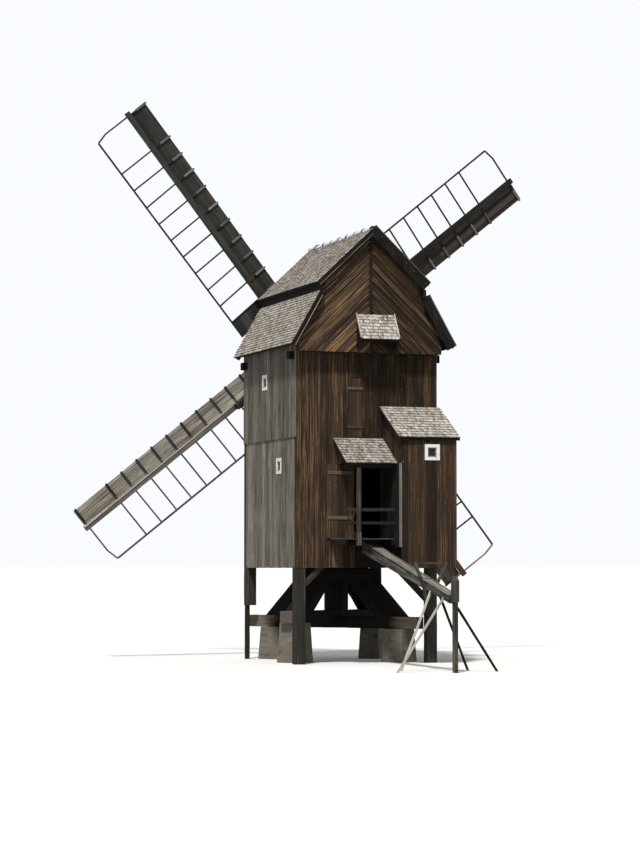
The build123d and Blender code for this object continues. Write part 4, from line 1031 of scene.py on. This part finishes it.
bands = Joinery()
for index in range(4):
    for reach in (0.95, 1.9, 2.95):
        stock_half = (STOCK_SIZE - (STOCK_SIZE - STOCK_END) * max(0, reach - HEAD) / (STOCK_HALF - HEAD)) / 2
        share = (reach - WHIP_START) / (rear_pair["tip"] - WHIP_START)
        whip_top = WHIP_BACK + WHIP_ROOT[1] + (WHIP_TIP[1] - WHIP_ROOT[1]) * share
        band(bands, sail_place(index), reach, -STOCK_SIZE / 2, whip_top, max(stock_half, WHIP_ROOT[0] / 2))
bands.finish("sail_bands", iron.material, "sail_timber", body="rotor")

# %% [markdown]
# The trestle is made of the heaviest timbers: two crossed beams on four piers, braces at 45 degrees that lean on the
# post, and a square saddle round it. They are hewn, so their faces waver. Their black is painted shade, since the
# body above keeps them in deep shade, and the crossed beams are painted dark near the post for the same shade.

# %% Trestle
POST, POST_HALF, POST_TOP, APEX = Vector((0, -2.86, 0)), 0.37, 6.5, 4.15
CROSS, LONG_BOTTOM, SHORT_BOTTOM = 0.38, 1.06, 1.25
SADDLE_REACH, SADDLE_Z = 1.5444, 2.76
long_way, short_way = math.radians(-55), math.radians(35)


def round_post(angle, reach, height):
    """A point at a distance from the post's axis."""
    return POST + Vector((math.cos(angle) * reach, math.sin(angle) * reach, height))


trestle = Joinery()
for angle, back, ahead, bottom in ((long_way, 3.25, 3.40, LONG_BOTTOM), (short_way, 2.8, 2.8, SHORT_BOTTOM)):
    start, end = round_post(angle, -back, bottom + CROSS / 2), round_post(angle, ahead, bottom + CROSS / 2)
    trestle.timber(start, end, CROSS, CROSS, UP, edge=0.02, rough=0.008)
# Painted shade: the crossed beams are darkened near the post, under the body, and stay light at their ends.
beam_wood = wood("crossed beams", (0.12, 0.094, 0.075), (0.27, 0.22, 0.18), (0.42, 0.36, 0.30), (0.45, 0.38, 0.29),
                 bare_share=0.3, knots=0.2, relief=0.004, darken_round=(tuple(POST), 2.3, 2.9, 0.04))
trestle.finish("crosstree_timbers", beam_wood, "trestle_timber", ["crosstree_long", "crosstree_short"])

braces = Joinery()
for number in range(4):
    angle = (long_way, short_way)[number % 2] + (math.pi if number > 1 else 0)
    foot = (LONG_BOTTOM, SHORT_BOTTOM)[number % 2] + CROSS
    away = Vector((math.cos(angle), math.sin(angle), 0))
    for outer, size in ((APEX, 0.38), (3.5914, 0.35)):
        middle = outer - size * math.sqrt(0.5)
        start, end = round_post(angle, middle - foot + 0.2, foot - 0.2), round_post(angle, 0.17, middle - 0.17)
        limits = [((0, 0, foot + 0.002), (0, 0, -1)), (round_post(angle, POST_HALF + 0.002, 0), -away)]
        braces.timber(start, end, 0.37, size, away + UP, edge=0.018, cuts=limits)
braces.finish("quarterbar_timbers", black_timber, "trestle_timber", ["quarterbars"])

ring = Joinery()
for number in range(4):
    corners = [math.radians(turn + 90 * number) for turn in (35, 125)]
    start, end = (round_post(angle, SADDLE_REACH, SADDLE_Z) for angle in corners)
    run = (end - start).normalized() * (0.11 if number % 2 else -0.11)
    ring.timber(start - run, end + run, 0.22, 0.40, UP, rough=0.005)
ring.finish("saddle_timbers", black_timber, "trestle_timber", ["saddle"])

post_foot = POST + UP * (SHORT_BOTTOM + CROSS)
post_length = POST_TOP - post_foot.z
corner = POST_HALF / math.cos(math.pi / 8)
turn = Matrix.Rotation(math.radians(35 + 22.5), 4, "Z")
post = bmesh.new()
bmesh.ops.create_cone(post, cap_ends=True, segments=8, radius1=corner, radius2=corner, depth=post_length, matrix=turn)
ease(post, long_edges(post, 1, axis=2), 0.02, segments=2)
bmesh.ops.subdivide_edges(post, edges=long_edges(post, 1, axis=2), cuts=12)
bmesh.ops.transform(post, matrix=Matrix.Rotation(math.radians(90), 4, "Y"), verts=post.verts[:])
for vert in post.verts:
    vert.co += Vector((0, chance.uniform(-0.005, 0.005), chance.uniform(-0.005, 0.005)))
post_parts = Joinery()
post_parts.add(post, along_board(post_foot, POST + UP * POST_TOP, (1, 0, 0)))
post_parts.finish("post_timber", black_timber, "trestle_timber", ["main_post"])

# %% [markdown]
# Props stand under the corners, the rear ones with a knee brace. The front left one has rotted away at its foot, so
# a much thinner post is spliced under its outer side. They are newer than the trestle and greyer.

# %% Props
PROP_X, PROP, PROP_TOP, SPLICE_TOP, KNEE_SIZE = 2.2, 0.33, 3.0, 1.76, 0.18
REAR_PROP_Y, FRONT_PROP_Y = -0.16, -5.11
props = Joinery()


def upright_prop(x, y, bottom):
    props.timber((x, y, bottom), (x, y, PROP_TOP), PROP, PROP, OUTWARD, edge=0.015)


upright_prop(PROP_X, FRONT_PROP_Y, SPLICE_TOP)
props.timber((PROP_X + 0.1, FRONT_PROP_Y, 0), (PROP_X + 0.1, FRONT_PROP_Y, SPLICE_TOP + 0.01), 0.13, 0.16, OUTWARD)
upright_prop(-PROP_X, FRONT_PROP_Y, 0)
for side, knee in ((1, 0.65), (-1, 1.1)):
    upright_prop(side * PROP_X, REAR_PROP_Y, 0)
    inner = side * (PROP_X - PROP / 2)
    middle = KNEE_SIZE / math.sqrt(2)
    start = Vector((inner + side * 0.10, REAR_PROP_Y, PROP_TOP - knee + middle - 0.10))
    end = Vector((inner - side * (knee - middle + 0.10), REAR_PROP_Y, PROP_TOP + 0.10))
    limits = [((inner, 0, 0), (side, 0, 0)), ((0, 0, PROP_TOP - 0.001), (0, 0, 1))]
    props.timber(start, end, KNEE_SIZE, KNEE_SIZE, OUTWARD, edge=0.01, rough=0.004, cuts=limits)
props.finish("prop_timbers", drift_timber, "prop_timber", ["corner_props"])

# %% [markdown]
# The tail pole is the lever that turned the mill. It slopes down from the sill, under a cover of three grey boards.
# A yoke of thin bars rides on it, and two pairs of legs hold it up. At its end a pointed post stands on two thin
# feet.

# %% Tail pole
POLE_TOP, POLE_Y, POLE_DROP = 3.695, 0.59, math.tan(math.radians(12.76))
POLE_START, POLE_END, COVER_DEPTH, COVER_BOARD = -0.26, 7.085, 0.0461, 0.024
slope_out = Vector((0, POLE_DROP, 1)).normalized()


def pole_share(y, start, end):
    """A size that changes evenly from the start of the pole to its end."""
    return start + (end - start) * (y - POLE_START) / (POLE_END - POLE_START)


def pole_width(y):
    return pole_share(y, 0.335, 0.27)


def pole_depth(y):
    return pole_share(y, 0.345, 0.20)


def on_pole(x, y, below=0.0):
    """A point of the tail pole: below is its height under the top of the cover."""
    return Vector((x, y, POLE_TOP - (y - POLE_Y) * POLE_DROP - below))


pole_wood = wood("tail pole", (0.02, 0.018, 0.016), (0.09, 0.084, 0.076), (0.24, 0.225, 0.20), (0.30, 0.265, 0.21),
                 bare_share=0.35, knots=0.2, relief=0.004, contrast=2.4)
cover_wood = wood("pole cover", (0.085, 0.077, 0.065), (0.20, 0.182, 0.157), (0.36, 0.335, 0.295), (0.40, 0.35, 0.28),
                  bare_share=0.3, knots=0.3, contrast=1.8)
leg_wood = wood("bleached legs", (0.22, 0.21, 0.185), (0.46, 0.44, 0.40), (0.66, 0.64, 0.58), (0.6, 0.54, 0.46),
                bare_share=0.3, knots=0.2)
tail_wood = wood("tail timber", (0.028, 0.025, 0.021), (0.072, 0.064, 0.053), (0.15, 0.135, 0.112),
                 (0.24, 0.20, 0.145), bare_share=0.4, knots=0.3, relief=0.003, contrast=1.8)

pole = Joinery()
stations = [(y, -COVER_DEPTH - pole_depth(y) / 2, pole_width(y), pole_depth(y)) for y in (POLE_START, POLE_END)]
toward_tail = Matrix(((0, -1, 0), (1, 0, 0), (0, 0, 1))).to_4x4()
tapered(pole, toward_tail, stations, rings=22, rule=lambda point: on_pole(point.x, point.y, -point.z))
pole.finish("pole_timber", pole_wood, "prop_timber", ["tail_pole"])
cover = Joinery()
for middle in (-0.124, 0.0, 0.124):
    start, end = on_pole(middle, 0.03, 0.013), on_pole(middle * 0.84, 7.07, 0.013)
    half = (end - start).length / 2
    stations = [(-half, 0, 0.120, COVER_BOARD), (half, 0, 0.100, COVER_BOARD)]
    tapered(cover, along_board(start, end, slope_out), stations, rough=0.002)
cover.finish("cover_boards", cover_wood, "prop_timber", ["tail_cover"])

# %% Post, yoke and legs of the tail pole
TAIL_Y, TAIL_FOOT, TAIL_HEAD, TAIL_SPREAD = 7.22, 2.02, 2.62, 0.095
YOKE_Y, YOKE_Z, YOKE_SIDE, YOKE_LOW, YOKE_BAR = 5.27, 3.13, 0.188, 2.44, 0.055
tail = Joinery()
tail.timber((0, TAIL_Y, TAIL_FOOT), (0, TAIL_Y, TAIL_HEAD), 0.16, 0.27, OUTWARD, rough=0.003)
tip_height = 0.142
tip = box(tip_height, 0.16, 0.27)
for vert in tip.verts:
    if vert.co.x > 0:
        vert.co.y *= 0.4
        vert.co.z *= 0.55
tail.add(tip, along_board((0, TAIL_Y, TAIL_HEAD), (0, TAIL_Y, TAIL_HEAD + tip_height), OUTWARD))
for y in (TAIL_Y - TAIL_SPREAD, TAIL_Y + TAIL_SPREAD):
    tail.timber((0, y, 0), (0, y, TAIL_FOOT + 0.01), 0.075, 0.075, OUTWARD, edge=0.006, rough=0.002)
tail.finish("tail_post_timber", tail_wood, "prop_timber", ["tail_post"])

yoke = Joinery()
for x_start, z_start, x_end in ((0.49, YOKE_Z - 0.01, 0), (0, YOKE_Z, -0.56)):
    ends = (x_start, YOKE_Y, z_start), (x_end, YOKE_Y, YOKE_Z)
    yoke.timber(*ends, YOKE_BAR, YOKE_BAR, UP, edge=0.006, rough=0.003)
for side, end in ((1, 0.465), (-1, 0.535)):
    points = [(end, YOKE_Z + 0.03), ((end + YOKE_SIDE) / 2 - 0.02, 2.75), (YOKE_SIDE, YOKE_LOW), (0.10, 1.99)]
    for (x_top, z_top), (x_low, z_low) in zip(points, points[1:]):
        start, stop = Vector((side * x_top, YOKE_Y, z_top)), Vector((side * x_low, YOKE_Y, z_low))
        over = (stop - start).normalized() * (0.02 if z_low >= YOKE_LOW else 0)
        yoke.timber(start, stop + over, 0.085, 0.085, OUTWARD, edge=0.008, rough=0.002)
yoke.finish("yoke_bars", tail_wood, "prop_timber", ["tail_yoke"])

light_legs, dark_legs = Joinery(), Joinery()
for y, spread in ((6.64, 1.55), (5.64, 1.05)):
    half = pole_width(y) / 2
    top = on_pole(0, y, COVER_DEPTH + pole_depth(y) / 3)
    for side, stack in ((1, light_legs), (-1, dark_legs)):
        limits = [((0, 0, 0), (0, 0, -1)), ((side * (half - 0.005), 0, 0), (-side, 0, 0))]
        start, end = Vector((side * half / 2, y, top.z)), Vector((side * spread, y, 0))
        over = (end - start).normalized() * 0.1
        stack.timber(start, end + over, 0.062, 0.062, OUTWARD, edge=0.008, rough=0.004, cuts=limits)
light_legs.finish("light_legs", leg_wood, "prop_timber", ["tail_legs"])
dark_legs.finish("dark_legs", black_timber, "prop_timber", ["tail_legs"])

# %% [markdown]
# The gallery is a plank floor on three joists, with two rails and a cross brace in its left bay. One post holds the
# header of the little roof. It hangs a hand's length below the floor, and a cleat is nailed on its foot.

# %% Gallery
GALLERY_LEFT, GALLERY_Y, RAIL_Y, POST_Y, GALLERY_Z = 1.23, 1.1, 1.078, 1.155, 3.89
RAIL_LEFT, CANOPY_LEFT, PORCH_POST_X, HEADER_Z = 1.1, 1.14, 0.70, 6.16
gallery = Joinery()
for left, right in strips(-LEAN_INNER, GALLERY_LEFT, 0.15, 0.2):
    middle, end = (left + right) / 2, GALLERY_Y + chance.uniform(-0.012, 0.0)
    gallery.board((middle, 0.024, GALLERY_Z), (middle, end, GALLERY_Z), right - left - 0.006, 0.038, UP)
gallery_wood = wood("gallery boards", (0.045, 0.04, 0.033), (0.11, 0.10, 0.085), (0.20, 0.185, 0.16),
                    (0.25, 0.21, 0.16), bare_share=0.4, knots=0.3)
gallery.finish("gallery_planks", gallery_wood, "floor_boards", ["gallery_floor"])

rails = Joinery()
for height in (4.7885, 4.3775):
    ends = [(x, RAIL_Y, height) for x in (-LEAN_INNER, RAIL_LEFT)]
    rails.timber(*ends, 0.045, 0.095, UP, edge=0.010, rough=0.003)
for low, high in ((0.765, RAIL_LEFT), (RAIL_LEFT, 0.765)):
    rails.timber((low, RAIL_Y, 3.945), (high, RAIL_Y, 4.785), 0.035, 0.035, OUTWARD, edge=0.004, rough=0.001)
rails.finish("rail_timbers", drift_timber, "prop_timber", ["railing"])

porch = Joinery()
ends = [(PORCH_POST_X, POST_Y, z) for z in (3.67, 6.15)]
porch.timber(*ends, 0.13, 0.11, OUTWARD, edge=0.01, rough=0.004)
ends = [(PORCH_POST_X, POST_Y + 0.075, z) for z in (3.687, 4.083)]
porch.timber(*ends, 0.12, 0.04, OUTWARD, edge=0.006, rough=0.002)
porch.finish("porch_post", tail_wood, "prop_timber", ["canopy_frame"])
# The header is black as painted shade under the canopy.
header = Joinery()
slant = [((0, POST_Y, 6.2195), (0, 0.815, 1.25))]
ends = [(x, POST_Y, HEADER_Z) for x in (-LEAN_INNER, CANOPY_LEFT)]
header.timber(*ends, 0.11, 0.17, UP, edge=0.008, rough=0.003, cuts=slant)
header.finish("porch_header", black_timber, "prop_timber", ["canopy_frame"])

# %% [markdown]
# Four piers of field stone carry the crossed beams. Rough blocks are laid in courses round a mortar core. Each
# block's corners are eased and pushed about a little, so no two blocks are alike.

# %% Piers
PIER_FOOT, PIER_TAPER, BLOCK_DEPTH, STONE_JOINT = 0.41, 0.06, 0.15, 0.014
stone = Finish("field stone")
place = stone.object_place()
clouds, roughness = stone.noise(place, 4, 5), stone.noise(place, 55, 4)
tone = stone.node("Attribute", {"attribute_name": "board"}, output=2)
stops = [(0.1, (0.10, 0.082, 0.066)), (0.5, (0.17, 0.145, 0.12)), (0.9, (0.26, 0.23, 0.20))]
shade = stone.node("ValToRGB", {"stops": stops}, {0: tone * 0.5 + clouds * 0.5})
shade = stone.mix(shade, (0.055, 0.06, 0.04), stone.step(clouds, 0.55, 0.7) * 0.6)
stone.set(Base_Color=shade, Roughness=stone.step(roughness, 0.3, 0.7, 0.8, 0.97))
stone.set(Normal=stone.bump(clouds + roughness * 0.4, 0.012))
mortar = Finish("lime mortar")
place = mortar.object_place()
sand, damp = mortar.noise(place, 120, 3), mortar.noise(place, 3, 3)
mortar.set(Base_Color=mortar.mix((0.24, 0.215, 0.18), (0.10, 0.088, 0.07), damp))
mortar.set(Roughness=mortar.step(sand, 0.3, 0.7, 0.85, 0.98), Normal=mortar.bump(sand, 0.004))


def stone_block(width, height):
    block = box(width - STONE_JOINT, BLOCK_DEPTH, height - STONE_JOINT)
    ease(block, block.edges[:], 0.022, segments=2)
    for vert in block.verts:
        vert.co += Vector([chance.uniform(-0.006, 0.006) for axis in range(3)])
    return block


for number in range(4):
    angle = (long_way, short_way)[number % 2]
    top = (LONG_BOTTOM, SHORT_BOTTOM)[number % 2]
    reach = (APEX - top - CROSS - CROSS / 2 / math.cos(math.radians(45))) * (1 if number > 1 else -1)
    foot = round_post(angle, reach, 0)
    blocks = Joinery()
    courses = (5, 6)[number % 2]
    tall = top / courses
    for course in range(courses):
        half = PIER_FOOT - PIER_TAPER * (course + 0.5) / courses - BLOCK_DEPTH / 2
        for face in range(4):
            out_angle = angle + face * math.pi / 2
            out = Vector((math.cos(out_angle), math.sin(out_angle), 0))
            across = Vector((-out.y, out.x, 0))
            turn = Matrix((across, out, (0, 0, 1))).transposed().to_4x4()
            far_end = half - BLOCK_DEPTH / 2 if face % 2 == course % 2 else half + BLOCK_DEPTH / 2
            for left, right in strips(-half - BLOCK_DEPTH / 2, far_end, 0.2, 0.34):
                centre = foot + out * half + across * (left + right) / 2 + UP * tall * (course + 0.5)
                blocks.add(stone_block(right - left, tall), Matrix.Translation(centre) @ turn)
    blocks.finish(f"pier_stones_{number + 1}", stone.material, "pier_stone")

# %% [markdown]
# The walls, floors and beams behind the boards are wood too. Their finishes draw the board joints, upright on the
# walls and along the floors. The panes are dark glass, since the rooms behind them are unlit.

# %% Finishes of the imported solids
toward_side = (0, math.radians(90), 0)
toward_rear = (math.radians(90), 0, math.radians(90))
along_body = (0, 0, math.radians(-90))
wall_side = wood("walls, sides", **dark_brown, bare_share=0.1, knots=0.3, along=toward_side, planks=0.21)
wall_rear = wood("walls, ends", **dark_brown, bare_share=0.1, knots=0.3, along=toward_rear, planks=0.2)
floor_wood = wood("floor boards", (0.05, 0.037, 0.026), (0.11, 0.085, 0.06), (0.17, 0.14, 0.11), (0.22, 0.17, 0.12),
                  bare_share=0.4, knots=0.3, along=along_body, planks=0.22)
beam_across = wood("beams across", **black, bare_share=0.2, knots=0.3, relief=0.004, along=(0, 0, 0))
beam_along = wood("beams along", **black, bare_share=0.2, knots=0.3, relief=0.004, along=along_body)
roof_under = wood("roof boards", **black, bare_share=0.15, knots=0.3, along=along_body, planks=0.2)
shaft_wood = wood("windshaft", **dark_brown, bare_share=0.2, knots=0.2, relief=0.004, along=along_body)

glass = Finish("dark panes")
dust = glass.noise(glass.object_place(), 12, 4)
glass.set(Base_Color=glass.mix((0.012, 0.014, 0.017), (0.05, 0.048, 0.042), glass.step(dust, 0.5, 0.75)))
glass.set(Roughness=glass.step(dust, 0.35, 0.7, 0.08, 0.35), Specular_IOR_Level=0.5)

finish_of = {
    wall_side: "side_wall_left side_wall_right lean_to_sides",
    wall_rear: "rear_wall_lower rear_wall_upper rear_gable front_gable front_wall lean_to_front upper_door",
    floor_wood: "meal_floor stone_floor lean_to_floor",
    # The black beams: on the rear sill and the gallery joists this black is painted shade under the gallery.
    beam_across: "crown_tree tie_beams shaft_beams rear_sill gable_soffit",
    beam_along: "sheers gallery_joists",
    # The black roof boards: on the canopy this black is painted shade.
    roof_under: "roof_lower_left roof_lower_right roof_upper_left roof_upper_right lean_to_roof canopy hoist_hood "
                "barge_boards",
    shaft_wood: "windshaft",
    glass.material: "window_panes",
    mortar.material: "piers",
    iron.material: "door_straps door_pintles",
}
for material, names in finish_of.items():
    for name in names.split():
        nodes[name].data.materials.clear()
        nodes[name].data.materials.append(material)
bare = [name for name, node in nodes.items() if not node.data.materials and not node.hide_render]
print("packed solids without a finish:", bare)

# %% Sizes with the boards
low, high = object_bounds()
{"cad": [list(cad_low), list(cad_high)], "visual": [list(low), list(high)]}
print("box with the boards:", [round(value, 3) for value in (*low, *high)])
